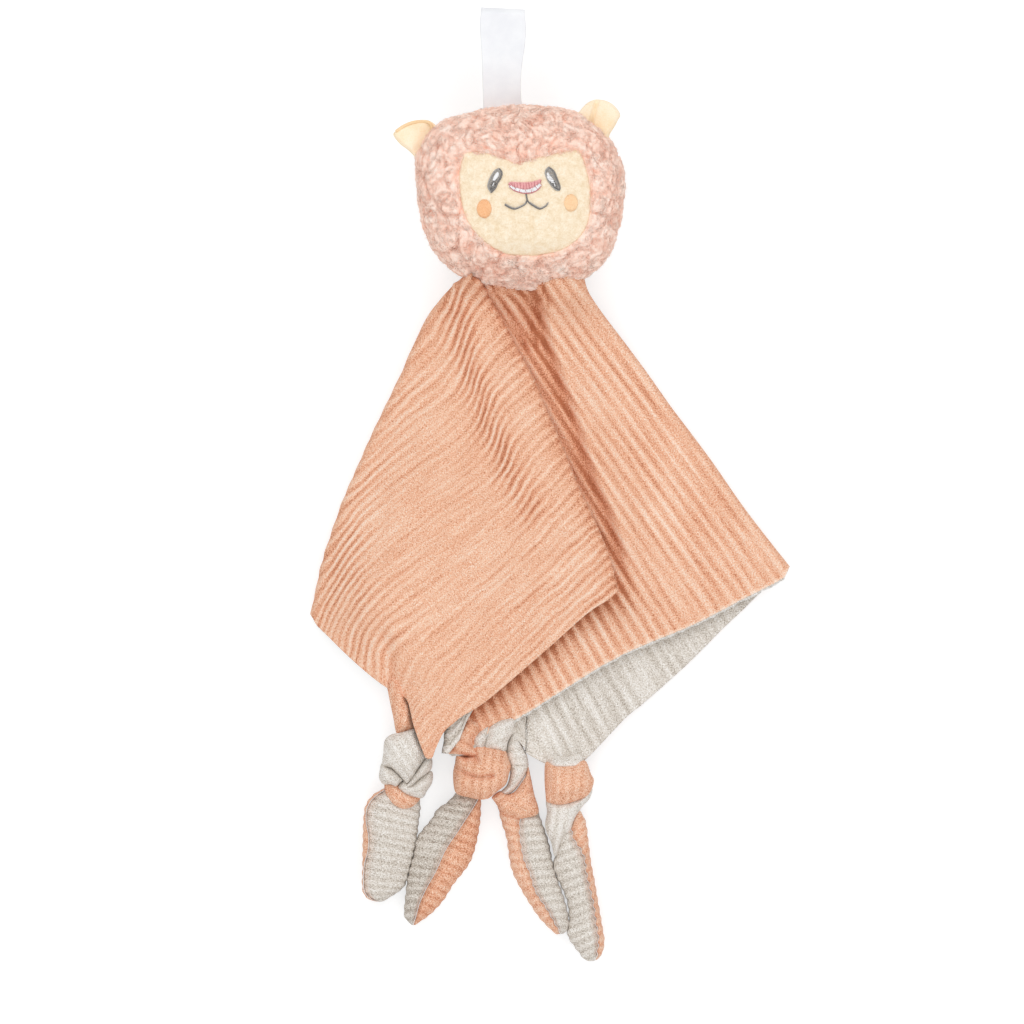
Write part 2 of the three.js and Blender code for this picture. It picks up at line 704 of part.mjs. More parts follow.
// Body lofted from rows of left edge, right edge, bottom and top
function loft(rows, sides, roundness) {
  return rings(rows.map(({ left, right, low, high }) => {
    const ring = [];
    for (let i = 0; i < sides; i += 1) {
      const turn = (i + 0.5) / sides * Math.PI * 2;
      const share = (1 + signedPower(Math.cos(turn), roundness)) / 2;
      const p = left.clone().lerp(right, share);
      const z = (low + high) / 2 + (high - low) / 2 * signedPower(Math.sin(turn), roundness);
      ring.push(new THREE.Vector3(p.x, p.y, Math.max(0, z)));
    }
    return ring;
  }));
}

const tailRows = 10;
const pinchShare = 0.1;
const pinchDepth = 0.45;
function tailHalf(leftShares, rightShares, seamOnRight) {
  const left = path(leftShares);
  const right = path(rightShares);
  const rows = [];
  for (let i = 0; i <= tailRows; i += 1) {
    const share = mix(0.02, 0.97, i / tailRows);
    const a = along(left, share);
    const b = along(right, share);
    const across = b.clone().sub(a).normalize();
    const width = a.distanceTo(b);
    const pinch = Math.max(0, 1 - share / pinchShare) ** 2 * pinchDepth * width;
    a.addScaledVector(across, seamOnRight ? pinch : seamGap / 2);
    b.addScaledVector(across, seamOnRight ? -seamGap / 2 : -pinch);
    const full = Math.min(1, Math.sin(share * Math.PI) ** 0.5 + 0.12);
    const wide = Math.min(1, a.distanceTo(b) / tailThickness + 0.25);
    rows.push({ left: a, right: b, low: -restCut, high: mix(0, tailThickness, full * wide) });
  }
  return loft(rows, 10, tailRoundness);
}

const tails = [
  { name: 'tail_1', left: tailOneLeftShares, seam: tailOneSeamShares, right: tailOneRightShares, coral: 'left' },
  { name: 'tail_2', left: tailTwoLeftShares, seam: tailTwoSeamShares, right: tailTwoRightShares, coral: 'right' },
  { name: 'tail_3', left: tailThreeLeftShares, seam: tailThreeSeamShares, right: tailThreeRightShares, coral: 'left' },
  { name: 'tail_4', left: tailFourLeftShares, seam: tailFourSeamShares, right: tailFourRightShares, coral: 'right' },
];
tails.forEach(({ name, left, seam, right, coral }) => {
  const near = tailHalf(left, seam, true);
  const far = tailHalf(seam, right, false);
  add(`${name}_coral`, coral === 'left' ? near : far, coralKnit);
  add(`${name}_grey`, coral === 'left' ? far : near, greyKnit);
});

// Knots. A strand of gathered corner runs through one or two wraps.
function strand(shares, widths, lows, highs) {
  const line = path(shares);
  const rows = shares.map((_, i) => {
    const share = i / (shares.length - 1);
    const direction = heading(line, share);
    const across = new THREE.Vector2(direction.y, -direction.x);
    if (across.x < 0) across.negate();
    return {
      left: line[i].clone().addScaledVector(across, -widths[i] / 2),
      right: line[i].clone().addScaledVector(across, widths[i] / 2),
      low: lows[i],
      high: highs[i],
    };
  });
  return loft(rows, 12, strandRoundness);
}

const knots = [
  {
    name: 'knot_1', strandPaint: coralKnit, wrapPaint: greyKnit,
    lineShares: [[-0.155, -0.21], [-0.151, -0.231], [-0.146, -0.254], [-0.146, -0.291], [-0.146, -0.308]],
    widthShares: [0.34, 0.36, 0.34, 0.34, 0.3],
    lowShares: [0.3, 0.3, 0.29, 0.28, 0.28],
    highShares: [0.5, 0.48, 0.46, 0.44, 0.42],
    wraps: [
      { centreShares: [-0.146, -0.273], widthShare: 0.94, depthShare: 0.74, heightShare: 0.54, bandShare: 0.23,
        tilt: -0.08, levelShare: 0.37 },
      { centreShares: [-0.145, -0.301], widthShare: 0.94, depthShare: 0.7, heightShare: 0.54, bandShare: 0.23,
        tilt: 0.03, levelShare: 0.35 },
    ],
  },
  {
    name: 'knot_2', strandPaint: greyKnit, wrapPaint: coralKnit,
    lineShares: [[-0.076, -0.2395], [-0.071, -0.256], [-0.069, -0.286], [-0.07, -0.302], [-0.071, -0.31]],
    widthShares: [0.36, 0.36, 0.3, 0.3, 0.26],
    lowShares: [0.5, 0.4, 0.36, 0.34, 0.34],
    highShares: [0.68, 0.6, 0.58, 0.54, 0.52],
    wraps: [
      { centreShares: [-0.069, -0.273], widthShare: 1.1, depthShare: 0.84, heightShare: 0.48, bandShare: 0.25,
        tilt: 0.04, levelShare: 0.47 },
      { centreShares: [-0.068, -0.298], widthShare: 1.04, depthShare: 0.8, heightShare: 0.48, bandShare: 0.25,
        tilt: -0.04, levelShare: 0.44 },
    ],
  },
  {
    name: 'knot_3', strandPaint: greyKnit, wrapPaint: coralKnit,
    lineShares: [[-0.0255, -0.2655], [-0.026, -0.288], [-0.026, -0.313], [-0.026, -0.323]],
    widthShares: [0.34, 0.26, 0.2, 0.2],
    lowShares: [0.12, 0.21, 0.21, 0.2],
    highShares: [0.3, 0.34, 0.33, 0.33],
    wraps: [
      { centreShares: [-0.026, -0.313], widthShare: 0.66, depthShare: 0.54, heightShare: 0.62, bandShare: 0.17,
        tilt: -0.26, levelShare: 0.27 },
    ],
  },
  {
    name: 'knot_4', strandPaint: greyKnit, wrapPaint: coralKnit,
    lineShares: [[0.016, -0.2735], [0.017, -0.296], [0.017, -0.311], [0.017, -0.32], [0.018, -0.334]],
    widthShares: [0.3, 0.32, 0.34, 0.42, 0.46],
    lowShares: [0.26, 0.26, 0.26, 0.25, 0.05],
    highShares: [0.44, 0.46, 0.46, 0.46, 0.42],
    wraps: [
      { centreShares: [0.017, -0.3005], widthShare: 0.9, depthShare: 0.72, heightShare: 0.68, bandShare: 0.22,
        tilt: 0.03, levelShare: 0.36 },
    ],
  },
];

const ofKnot = (shares) => shares.map((share) => share * knotSize);
knots.forEach((knot) => {
  const { name, lineShares, widthShares, lowShares, highShares } = knot;
  const cord = strand(lineShares, ofKnot(widthShares), ofKnot(lowShares), ofKnot(highShares));
  add(`${name}_strand`, cord, knot.strandPaint);
  knot.wraps.forEach((turn, i) => {
    const sizes = ofKnot([turn.levelShare, turn.widthShare, turn.depthShare, turn.heightShare, turn.bandShare]);
    add(`${name}_wrap_${i + 1}`, wrap(plan(turn.centreShares), ...sizes, turn.tilt), knot.wrapPaint);
  });
});

// Centre the toy over the origin and rest it on the ground plane
group.updateMatrixWorld(true);
const box = new THREE.Box3().setFromObject(group);
const shift = box.getCenter(new THREE.Vector3()).negate().setZ(-box.min.z);
group.children.forEach((mesh) => mesh.geometry.translate(shift.x, shift.y, shift.z));
group.children.forEach((mesh) => mesh.geometry.computeVertexNormals());

export default group;
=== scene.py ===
import math

import bmesh
import bpy
import numpy as np
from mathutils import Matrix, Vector


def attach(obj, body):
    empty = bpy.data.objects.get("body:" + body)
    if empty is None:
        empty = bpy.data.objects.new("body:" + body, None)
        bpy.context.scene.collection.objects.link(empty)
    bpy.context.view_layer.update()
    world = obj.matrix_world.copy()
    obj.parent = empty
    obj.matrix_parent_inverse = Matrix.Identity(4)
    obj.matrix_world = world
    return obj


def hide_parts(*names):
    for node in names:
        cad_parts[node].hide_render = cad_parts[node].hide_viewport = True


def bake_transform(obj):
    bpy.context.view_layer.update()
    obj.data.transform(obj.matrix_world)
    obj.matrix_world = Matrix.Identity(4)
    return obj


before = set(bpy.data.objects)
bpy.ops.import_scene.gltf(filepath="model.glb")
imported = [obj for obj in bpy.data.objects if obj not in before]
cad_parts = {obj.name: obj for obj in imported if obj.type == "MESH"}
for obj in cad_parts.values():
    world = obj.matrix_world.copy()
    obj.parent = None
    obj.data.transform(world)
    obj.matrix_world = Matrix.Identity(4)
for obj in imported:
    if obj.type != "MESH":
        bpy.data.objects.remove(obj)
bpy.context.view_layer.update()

rng = np.random.default_rng(7)

# Plan view: one pixel of the photographed layout is 0.42 mm. All shape work is in millimetres.
PIXEL = 0.42
CENTRE = (550.0, 484.0)
SHIFT_Y = -1.97
MM = 0.001
TURN = 2 * math.pi


def plan(points):
    p = np.asarray(points, float)
    return np.stack([(p[..., 0] - CENTRE[0]) * PIXEL, (CENTRE[1] - p[..., 1]) * PIXEL + SHIFT_Y], -1)


def smooth(t):
    t = np.clip(t, 0.0, 1.0)
    return t * t * (3.0 - 2.0 * t)


def unit(v, spare=0.0):
    """Directions of length one. A little to spare keeps a length of nothing from dividing."""
    return v / (np.linalg.norm(v, axis=-1, keepdims=True) + spare)


def above(p, row, width):
    """Grows from none to one over a width in millimetres above a row of the photograph."""
    return smooth((p[..., 1] - plan([0, row])[1]) / width)


def resample(line, shares):
    """Points at shares of a line's length."""
    line = np.asarray(line, float)
    lengths = np.linalg.norm(np.diff(line, axis=0), axis=1)
    run = np.concatenate([[0.0], np.cumsum(lengths)])
    s = np.asarray(shares, float) * run[-1]
    return np.stack([np.interp(s, run, line[:, k]) for k in range(line.shape[1])], -1)


def rounded(line, count=60, closed=False):
    """A smooth curve through the points of a line."""
    p = np.asarray(line, float)
    if closed:
        p = np.concatenate([p[-2:], p, p[:3]])
    else:
        p = np.concatenate([[2 * p[0] - p[1]], p, [2 * p[-1] - p[-2]]])
    out = []
    spans = len(p) - 3
    per = max(2, count // spans)
    for i in range(closed, spans - closed):
        a, b, c, d = p[i:i + 4]
        for t in np.arange(per) / per:
            out.append(0.5 * ((2 * b) + (c - a) * t + (2 * a - 5 * b + 4 * c - d) * t * t
                              + (3 * b - a - 3 * c + d) * t ** 3))
    if not closed:
        out.append(p[-2])
    return np.array(out)


def inside(poly, p):
    """Whether each point lies in an outline."""
    x, y = p[..., 0], p[..., 1]
    odd = np.zeros(x.shape, bool)
    for (ax, ay), (bx, by) in zip(poly, np.roll(poly, 1, axis=0)):
        if ay == by:
            continue
        cross = (ay > y) != (by > y)
        odd ^= cross & (x < ax + (bx - ax) * (y - ay) / (by - ay))
    return odd


def edge_distance(poly, p, closed=True):
    """Distance from each point to the nearest edge of a line or outline."""
    best = np.full(p.shape[:-1], 1e9)
    pairs = zip(poly, np.roll(poly, 1, axis=0)) if closed else zip(poly[:-1], poly[1:])
    for a, b in pairs:
        edge = b - a
        length = float(edge @ edge)
        if length == 0:
            continue
        offset = p - a
        t = np.clip((offset @ edge) / length, 0, 1)
        best = np.minimum(best, np.linalg.norm(offset - t[..., None] * edge, axis=-1))
    return best


# Value noise on a lattice, the same on every run
NOISE_SIDE = 64
NOISE = rng.random((NOISE_SIDE,) * 3)


def noise3(p, scale):
    q = np.asarray(p, float) / scale
    base = np.floor(q).astype(int)
    f = q - base
    f = f * f * (3 - 2 * f)
    total = 0.0
    for corner in np.ndindex(2, 2, 2):
        w = np.where(corner, f, 1 - f)
        i, j, k = np.moveaxis((base + corner) % NOISE_SIDE, -1, 0)
        total = total + w[..., 0] * w[..., 1] * w[..., 2] * NOISE[i, j, k]
    return total * 2 - 1


def noise2(p, scale, level=0.0):
    """Noise over the plan, cut from the lattice at a level."""
    return noise3(np.concatenate([p, np.full(p.shape[:-1] + (1,), level)], -1), scale)


def make_mesh(name, points, faces, material, uv=None, ribbing=None, tone=None):
    """A mesh object from points in millimetres and faces of three or four corners."""
    mesh = bpy.data.meshes.new(name)
    points = np.asarray(points, np.float32).reshape(-1, 3) * MM
    faces = [np.asarray(f, np.int32) for f in faces]
    loops = np.concatenate([f.ravel() for f in faces])
    totals = np.concatenate([np.full(len(f), f.shape[1], np.int32) for f in faces])
    starts = np.concatenate([[0], np.cumsum(totals)[:-1]]).astype(np.int32)
    mesh.vertices.add(len(points))
    mesh.vertices.foreach_set("co", points.ravel())
    mesh.loops.add(len(loops))
    mesh.loops.foreach_set("vertex_index", loops)
    mesh.polygons.add(len(totals))
    mesh.polygons.foreach_set("loop_start", starts)
    mesh.polygons.foreach_set("loop_total", totals)
    mesh.update(calc_edges=True)
    mesh.polygons.foreach_set("use_smooth", np.ones(len(totals), bool))
    if uv is not None:
        layer = mesh.uv_layers.new(name="cloth")
        layer.data.foreach_set("uv", np.asarray(uv, np.float32)[loops].ravel())
    for word, values, plain in (("ribbing", ribbing, 1.0), ("tone", tone, 0.0)):
        layer = mesh.attributes.new(word, "FLOAT", "POINT")
        values = np.full(len(points), plain) if values is None else values
        layer.data.foreach_set("value", np.asarray(values, np.float32))
    mesh.materials.append(material)
    mesh.validate()
    shape = bmesh.new()
    shape.from_mesh(mesh)
    bmesh.ops.recalc_face_normals(shape, faces=shape.faces)
    shape.to_mesh(mesh)
    shape.free()
    obj = bpy.data.objects.new(name, mesh)
    bpy.context.scene.collection.objects.link(obj)
    return obj


def grid_faces(rows, columns, offset=0, flip=False):
    """Faces between neighbouring rings of points."""
    i, j = np.meshgrid(np.arange(rows - 1), np.arange(columns), indexing="ij")
    k = (j + 1) % columns
    quads = np.stack([i * columns + j, i * columns + k, (i + 1) * columns + k, (i + 1) * columns + j], -1)
    quads = quads.reshape(-1, 4) + offset
    return quads[:, ::-1] if flip else quads


def shell_faces(rows, inner_rows, columns, flip=False):
    """Faces of a body between an outer and an inner set of rings, each with a pole in its middle."""
    j = np.arange(columns)
    k = (j + 1) % columns
    inner, poles = rows * columns, (rows + inner_rows) * columns
    edge, inner_edge = inner - columns, poles - columns
    quads = np.concatenate([grid_faces(rows, columns), grid_faces(inner_rows, columns, inner, True),
                            np.stack([inner_edge + j, inner_edge + k, edge + k, edge + j], -1)])
    tris = np.concatenate([np.stack([k, j, np.full(columns, poles)], -1),
                           np.stack([inner + j, inner + k, np.full(columns, poles + 1)], -1)])
    return [quads[:, ::-1], tris[:, ::-1]] if flip else [quads, tris]


def stand_for(node):
    """The piece takes the place of a CAD node."""
    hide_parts(node)


# Materials


class Nodes:
    """A small helper that builds one node material."""

    def __init__(self, name, roughness, sheen=0.0, sheen_tint=(1, 1, 1)):
        self.material = bpy.data.materials.new(name)
        self.material.use_nodes = True
        self.tree = self.material.node_tree
        self.shader = self.tree.nodes["Principled BSDF"]
        for key, value in (("Roughness", roughness), ("Sheen Weight", sheen), ("Sheen Roughness", 0.5),
                           ("Sheen Tint", (*sheen_tint, 1)), ("Specular IOR Level", 0.2)):
            self.shader.inputs[key].default_value = value

    def add(self, kind, **values):
        """A node. Words with a capital are its sockets and the others its settings."""
        node = self.tree.nodes.new("ShaderNode" + kind)
        for key, value in values.items():
            if key[0].isupper():
                self.put(node.inputs[key], value)
            else:
                setattr(node, key, value)
        return node

    def put(self, socket, value):
        """Link a socket, or set it to a number or a colour."""
        if isinstance(value, bpy.types.NodeSocket):
            self.tree.links.new(value, socket)
        else:
            socket.default_value = (*value, 1) if isinstance(value, tuple) else value

    def where(self):
        return self.add("TexCoord").outputs["Object"]

    def cloth_map(self):
        """U and V of the cloth map."""
        return self.add("SeparateXYZ", Vector=self.add("TexCoord").outputs["UV"]).outputs[:2]

    def noise(self, vector, scale, detail=3.0, roughness=0.55):
        node = self.add("TexNoise", Vector=vector, Scale=scale, Detail=detail, Roughness=roughness)
        return node.outputs["Fac"]

    def ramp(self, factor, places, colours):
        node = self.add("ValToRGB", Fac=factor)
        ramp = node.color_ramp
        while len(ramp.elements) < len(places):
            ramp.elements.new(0.5)
        for element, place, colour in zip(ramp.elements, places, colours):
            element.position = place
            element.color = (*colour, 1)
        return node.outputs["Color"]

    def math(self, operation, a, b=0.5):
        node = self.add("Math", operation=operation)
        for socket, value in zip(node.inputs, (a, b)):
            self.put(socket, value)
        return node.outputs[0]

    def times(self, a, b):
        return self.math("MULTIPLY", a, b)

    def plus(self, a, b):
        return self.math("ADD", a, b)

    def wave(self, kind, value, turns):
        return self.math(kind, self.times(value, TURN * turns))

    def swing(self, vector, scale, detail=3.0, roughness=0.55):
        """Noise about nought."""
        return self.math("SUBTRACT", self.noise(vector, scale, detail, roughness), 0.5)

    def mix(self, factor, a, b):
        node = self.add("Mix", data_type="RGBA")
        for socket, value in ((node.inputs["Factor"], factor), (node.inputs[6], a), (node.inputs[7], b)):
            self.put(socket, value)
        return node.outputs[2]

    def finish(self, colour, relief, strength, distance):
        """Colour and bump of the shader."""
        bump = self.add("Bump", Strength=strength, Distance=distance, Height=relief)
        self.put(self.shader.inputs["Base Color"], colour)
        self.put(self.shader.inputs["Normal"], bump.outputs["Normal"])
        return self.material


def shades(*codes):
    """Linear colours from written screen colours."""
    c = np.array([[int(code[i:i + 2], 16) / 255 for i in (1, 3, 5)] for code in codes])
    return [tuple(map(float, v)) for v in np.where(c <= 0.04045, c / 12.92, ((c + 0.055) / 1.055) ** 2.4)]


def knit(name, colours, streak=0.75, grain=1.7):
    """Ribbed melange knit. U of the cloth map runs across the ribs and V along them, in ribs and millimetres.

    The mesh carries how strongly the ribs stand out (ribbing) and how deep the colour is (tone). The colour
    is painted darker in the grooves between the ribs and lighter on their crowns, as strongly as the ribbing:
    painted shade and painted highlight. The tone holds painted shade over the blanket's folds and under its
    hem, besides tints of whole knots and tails and the overlocked edge's own lighter colour."""
    n = Nodes(name, 0.92, 0.12, colours[2])
    where = n.where()
    across, along = n.cloth_map()
    ribbing, tone = (n.add("Attribute", attribute_name=word).outputs["Fac"] for word in ("ribbing", "tone"))
    weave = n.times(n.wave("SINE", along, 1 / 1.4), n.wave("COSINE", across, 4))

    def yarns(wide, long, detail, roughness):
        place = n.add("CombineXYZ", X=n.times(across, wide), Y=n.times(along, long))
        return n.swing(place.outputs[0], 1.0, detail, roughness)

    flecks = n.swing(where, 1900, 2.0, 0.8)
    # Painted shade and highlight: each rib's groove is coloured darker and its crown lighter.
    height = n.times(n.times(n.wave("COSINE", across, 1), ribbing), -0.22)
    streaks, stitches = yarns(2.3, 0.035, 2.0, 0.6), yarns(8.0, 1.5, 1.0, 0.5)
    # The streaks, flecks, stitches, weave and cloud are the yarn's own melange; the tone adds painted shade.
    for part, share in ((streaks, streak), (flecks, grain), (stitches, 0.9), (weave, 0.04),
                        (n.swing(where, 30), 0.25), (tone, 1.0)):
        height = n.plus(height, n.times(part, share))
    colour = n.ramp(n.plus(height, 0.55), (0.0, 0.30, 0.58, 1.0), colours)
    return n.finish(colour, n.plus(n.times(weave, 0.30), flecks), 0.6, 0.0006)


# The darkest colours of each ramp serve the painted shade in the grooves and over the folds.
coral_shades = shades("#b9714f", "#e6a482", "#f6c4a4", "#ffe8d6")
grey_shades = shades("#948475", "#c6bcb0", "#e2dad0", "#fcf9f5")
coral_knit = knit("coral_knit", coral_shades)
grey_knit = knit("grey_knit", grey_shades)
coral_knot = knit("coral_knit_knots", coral_shades, 0.25, 2.4)
grey_knot = knit("grey_knit_knots", grey_shades, 0.25, 2.2)


def soft_cloth(name, codes, roughness, sheen, grain=1800, broad=60, strength=0.35, distance=0.0003,
               crease=None):
    """Short-pile or plain cloth: cloudy colour, fine grain and a soft sheen. A crease colour, where given, is
    painted shade, mixed in where the cloth map's U is low.
    """
    colours = shades(*codes)
    n = Nodes(name, roughness, sheen, colours[1])
    where = n.where()
    fine = n.noise(where, grain, 3.0, 0.65)
    cloud = n.noise(where, broad, 4.0, 0.6)
    colour = n.ramp(n.plus(n.times(fine, 0.45), n.times(cloud, 0.55)), (0.36, 0.50, 0.64), colours)
    if crease is not None:
        # Painted shade in the creases between the tufts: the crease colour takes over as U, the tuft height,
        # falls.
        colour = n.mix(n.math("POWER", n.cloth_map()[0], 0.6), shades(crease)[0], colour)
    return n.finish(colour, n.plus(fine, n.times(cloud, 0.6)), strength, distance)


def woven(name, *codes):
    """Fine woven tape. The cloth map is in millimetres."""
    colours = shades(*codes)
    n = Nodes(name, 0.75, 0.1, colours[0])
    warp, weft = (n.wave("SINE", way, 1 / 0.45) for way in n.cloth_map())
    weave = n.times(warp, weft)
    shade = n.ramp(n.plus(n.times(weave, 0.12), n.noise(n.where(), 90)), (0.3, 0.7), colours)
    return n.finish(shade, weave, 0.25, 0.0001)


def yarn(name, *codes):
    """Embroidery thread with a little twist along it."""
    colours = shades(*codes)
    n = Nodes(name, 0.6, 0.15, colours[1])
    twist = n.noise(n.where(), 2600, 2.0, 0.6)
    return n.finish(n.ramp(twist, (0.3, 0.7), colours), twist, 0.4, 0.0002)


# The fleece's last colour is its painted crease shade.
fleece = soft_cloth("fleece", ("#ffd7c4", "#ffe3d4", "#fff2e8"), 0.96, 1.0, 1500, 120, 0.3, 0.0003, "#f8b79c")
fibre = soft_cloth("fibre_fill", ("#e4e2de", "#efedea", "#f8f7f5"), 0.95, 0.3)
cream_velour = soft_cloth("cream_velour", ("#ecd5b2", "#f6e4c8", "#fdf1dc"), 0.93, 0.25, 1500, 420, 0.5,
                          0.0004)
ear_velour = soft_cloth("ear_velour", ("#fbe0b8", "#feecce", "#fff3de"), 0.93, 0.35, 1900, 90, 0.4)
ear_edge = soft_cloth("ear_edge", ("#eec698", "#f6d4a6", "#fbe0b8"), 0.93, 0.3)
white_tape = woven("white_tape", "#ecedf1", "#f6f7f9")
dark_thread = yarn("dark_thread", "#5c5a59", "#969390")
grey_thread = yarn("grey_thread", "#94908d", "#c4c0bb")
white_thread = yarn("white_thread", "#efeff0", "#fdfdfe")
pink_thread = yarn("pink_thread", "#e09a9c", "#f5c2c0")
deep_pink = yarn("deep_pink_thread", "#b9606c", "#d5848c")
# The two cheeks are stitched in one thread; its deeper copy on the left cheek and its paler copy on the right
# are painted shade and painted light.
deep_cheek = yarn("deep_cheek", "#f2b17e", "#fccda0")
pale_cheek = yarn("pale_cheek", "#f7c998", "#fedcb4")
coral_thread = yarn("coral_thread", "#d69474", "#eab393")


# Folded blanket

CLOTH = 1.2
GAP = 0.35
LAYER_GAP = 0.5
PAIR = 2 * CLOTH + GAP
PITCH = PAIR + LAYER_GAP
RIB_PITCH = 3.8
WIDE_PITCH = 4.9
RIB_HEIGHT = 0.65

fold_lines = {
    "left": [(467, 269), (459, 277), (449, 286), (438.5, 299), (426, 315), (412, 342), (400, 370), (385, 401),
             (369, 434), (356.5, 462), (342, 495), (332.5, 521), (320, 560), (309, 609)],
    "front": [(474, 271), (483, 279), (493, 299), (506, 321), (520, 348), (535, 376), (550, 411), (566, 448),
              (579, 481), (591, 507), (604, 536), (613, 560), (620, 590)],
    "tuck": [(470, 268), (474, 283), (475, 299), (467, 500), (440, 753)],
    "right": [(582, 268), (586, 276), (591, 291), (604, 311), (627.5, 342), (649, 371), (673, 405),
              (693.5, 432), (715, 461), (742, 500), (765.5, 531), (791, 563)],
    "back": [(478, 268), (484, 299), (452, 420), (388, 604)],
    "under": [(515, 268), (520, 299), (524, 540), (525, 748)],
}
hem_lines = [
    [(309, 609), (313, 621), (331, 639.5), (350, 658), (370, 675.5), (387, 688), (404, 697), (409, 706),
     (414, 727), (423, 752), (426, 758), (432, 758), (436, 748), (444, 732), (454, 723), (463, 716),
     (484, 703), (517, 675.5), (552, 645), (588, 613), (608, 600), (620, 590)],
    [(620, 590), (597, 601), (572, 619), (542, 642), (508, 670), (478, 697), (464, 714), (456, 731),
     (450, 743), (440, 753)],
    [(440, 753), (455, 752), (474, 738), (490, 726), (514, 716), (560, 688), (600, 664), (640, 645),
     (690, 625), (740, 600), (785, 577), (791, 563)],
    [(791, 563), (750, 603), (728, 623), (692, 658), (646, 698), (626, 714), (583, 757), (563, 764),
     (546, 761), (522, 748), (514, 736), (388, 604)],
    [(388, 604), (455, 680), (525, 748)],
    [(525, 748), (415, 672), (309, 609)],
]
# (fold, side the fold faces, coral outside or inside, layer above, layer below)
folds = [("left", -1, 1, 0, 5), ("front", 1, 1, 0, 1), ("tuck", -1, -1, 1, 2), ("right", 1, 1, 2, 3),
         ("back", -1, -1, 3, 4), ("under", 1, 1, 4, 5)]
layer_columns = [210, 12, 190, 110, 10, 10]
BEND_STEPS = 10
ROWS = 360
lines = {name: plan(rounded(points, 120)) for name, points in fold_lines.items()}
hems = [plan(points) for points in hem_lines]
layer_plans = []
for i, hem in enumerate(hems):
    left, right = lines[folds[i][0]], lines[folds[(i + 1) % len(folds)][0]]
    behind_head = [line[:1] + [0, 60] for line in (left, right)]
    layer_plans.append(np.concatenate([behind_head[0], left, hem[1:-1], right[::-1], behind_head[1]]))

# Fields are values over the plan, kept on a grid of photograph pixels
FIELD_STEP = 4.0
FIELD_LOW, FIELD_HIGH = np.array([292.0, 256.0]), np.array([800.0, 780.0])
field_shape = ((FIELD_HIGH - FIELD_LOW) / FIELD_STEP).astype(int)


def field_grid(shift=0.0, fewer=0):
    """Pixel places of the fields' grid points, or of the middles between them."""
    return np.stack(np.meshgrid(*((np.arange(n - fewer) + shift) * FIELD_STEP + low
                                  for n, low in zip(field_shape, FIELD_LOW)), indexing="ij"), -1)


def pixels(p):
    """Photograph pixels of plan points."""
    return np.stack([p[..., 0] / PIXEL + CENTRE[0], CENTRE[1] - (p[..., 1] - SHIFT_Y) / PIXEL], -1)


def sample_field(field, p):
    """Bilinear value of a field over the plan."""
    place = np.clip((pixels(p) - FIELD_LOW) / FIELD_STEP, 0, field_shape - 1.001)
    i, j = np.moveaxis(np.floor(place).astype(int), -1, 0)
    fx, fy = place[..., 0] - i, place[..., 1] - j
    return (field[i, j] * (1 - fx) * (1 - fy) + field[i + 1, j] * fx * (1 - fy)
            + field[i, j + 1] * (1 - fx) * fy + field[i + 1, j + 1] * fx * fy)


def distance_field(*traced, areas=False):
    """Distance from lines, or from areas, over the plan."""
    p = plan(field_grid())
    best = np.full(p.shape[:2], 1e9)
    for line in traced:
        d = edge_distance(line, p, closed=areas)
        best = np.minimum(best, np.where(inside(line, p), 0.0, d) if areas else d)
    return best


ridge_foot = [(528, 284), (534, 297), (540, 315), (543, 336), (549, 355), (555, 372), (563, 394), (571, 416),
              (579, 444), (586, 467), (596, 492), (605, 512), (614, 538), (621, 560), (634, 592)]
gather_lines = [[(492, 276), (508, 285), (522, 294), (533, 299), (540, 315)],
                [(488, 281), (503, 292), (518, 303), (530, 320), (537, 345)],
                [(490, 290), (503, 305), (516, 326), (527, 350)],
                [(506, 279), (520, 286), (534, 289), (541, 300)],
                [(541, 280), (545, 292), (549, 306)]]
wave_points = [(452, 292), (462, 335), (472, 370), (482, 405), (497, 440), (512, 472), (530, 505)]
fields = {
    "under": distance_field(*layer_plans[1:5], areas=True), "front": distance_field(lines["front"]),
    "left": distance_field(lines["left"]), "right": distance_field(lines["right"]),
    "gather": distance_field(*map(plan, gather_lines)), "foot": distance_field(plan(ridge_foot)),
    "wave": distance_field(plan(wave_points)), "hem": distance_field(hems[0][11:]),
    "corner": distance_field(plan([(335, 540), (350, 590), (372, 640)])),
    "crease": distance_field(plan([(386, 640), (389, 665), (392, 690), (404, 712)])),
    "grey_crease": distance_field(plan([(558, 738), (562, 750), (563, 766)]))}


def side_field(line):
    """One to the right of a traced line that runs down the photograph, minus one to its left."""
    x, y = np.moveaxis(field_grid(), -1, 0)
    return np.where(x > np.interp(y, *np.array(line, float).T[::-1]), 1.0, -1.0)


fields["foot"] = fields["foot"] * side_field(ridge_foot)
wave_side = side_field(wave_points)


def swell(name, p, height, width):
    """A rounded rise along the line of a field."""
    return height * np.exp(-(sample_field(fields[name], p) / width) ** 2)


# Rises beside the neck: layer, place in the photograph, height and width
neck_rises = [(2, (516, 283), 10.0, 11.0), (2, (566, 279), 15.5, 14.0), (2, (492, 288), 4.5, 6.0),
              (2, (482, 272), 6.0, 7.0), (0, (477, 276), 12.0, 6.5)]
NECK = plan([523.5, 300])


def ripple(p, z):
    """Low folds that run out from the neck and grow with height."""
    q = p - NECK
    length = np.linalg.norm(q, axis=-1)
    angle = np.arctan2(q[..., 0], -q[..., 1])
    reach = np.minimum(1, length / 168)
    return z + 1.4 * np.sin(angle * 9 + length / 46.7) * reach * (1 - reach * 0.5) * z / (PITCH * len(folds))


OVERHANG, SAG_WIDTH, SAG_SLOPE = 11, 4.5, 0.62


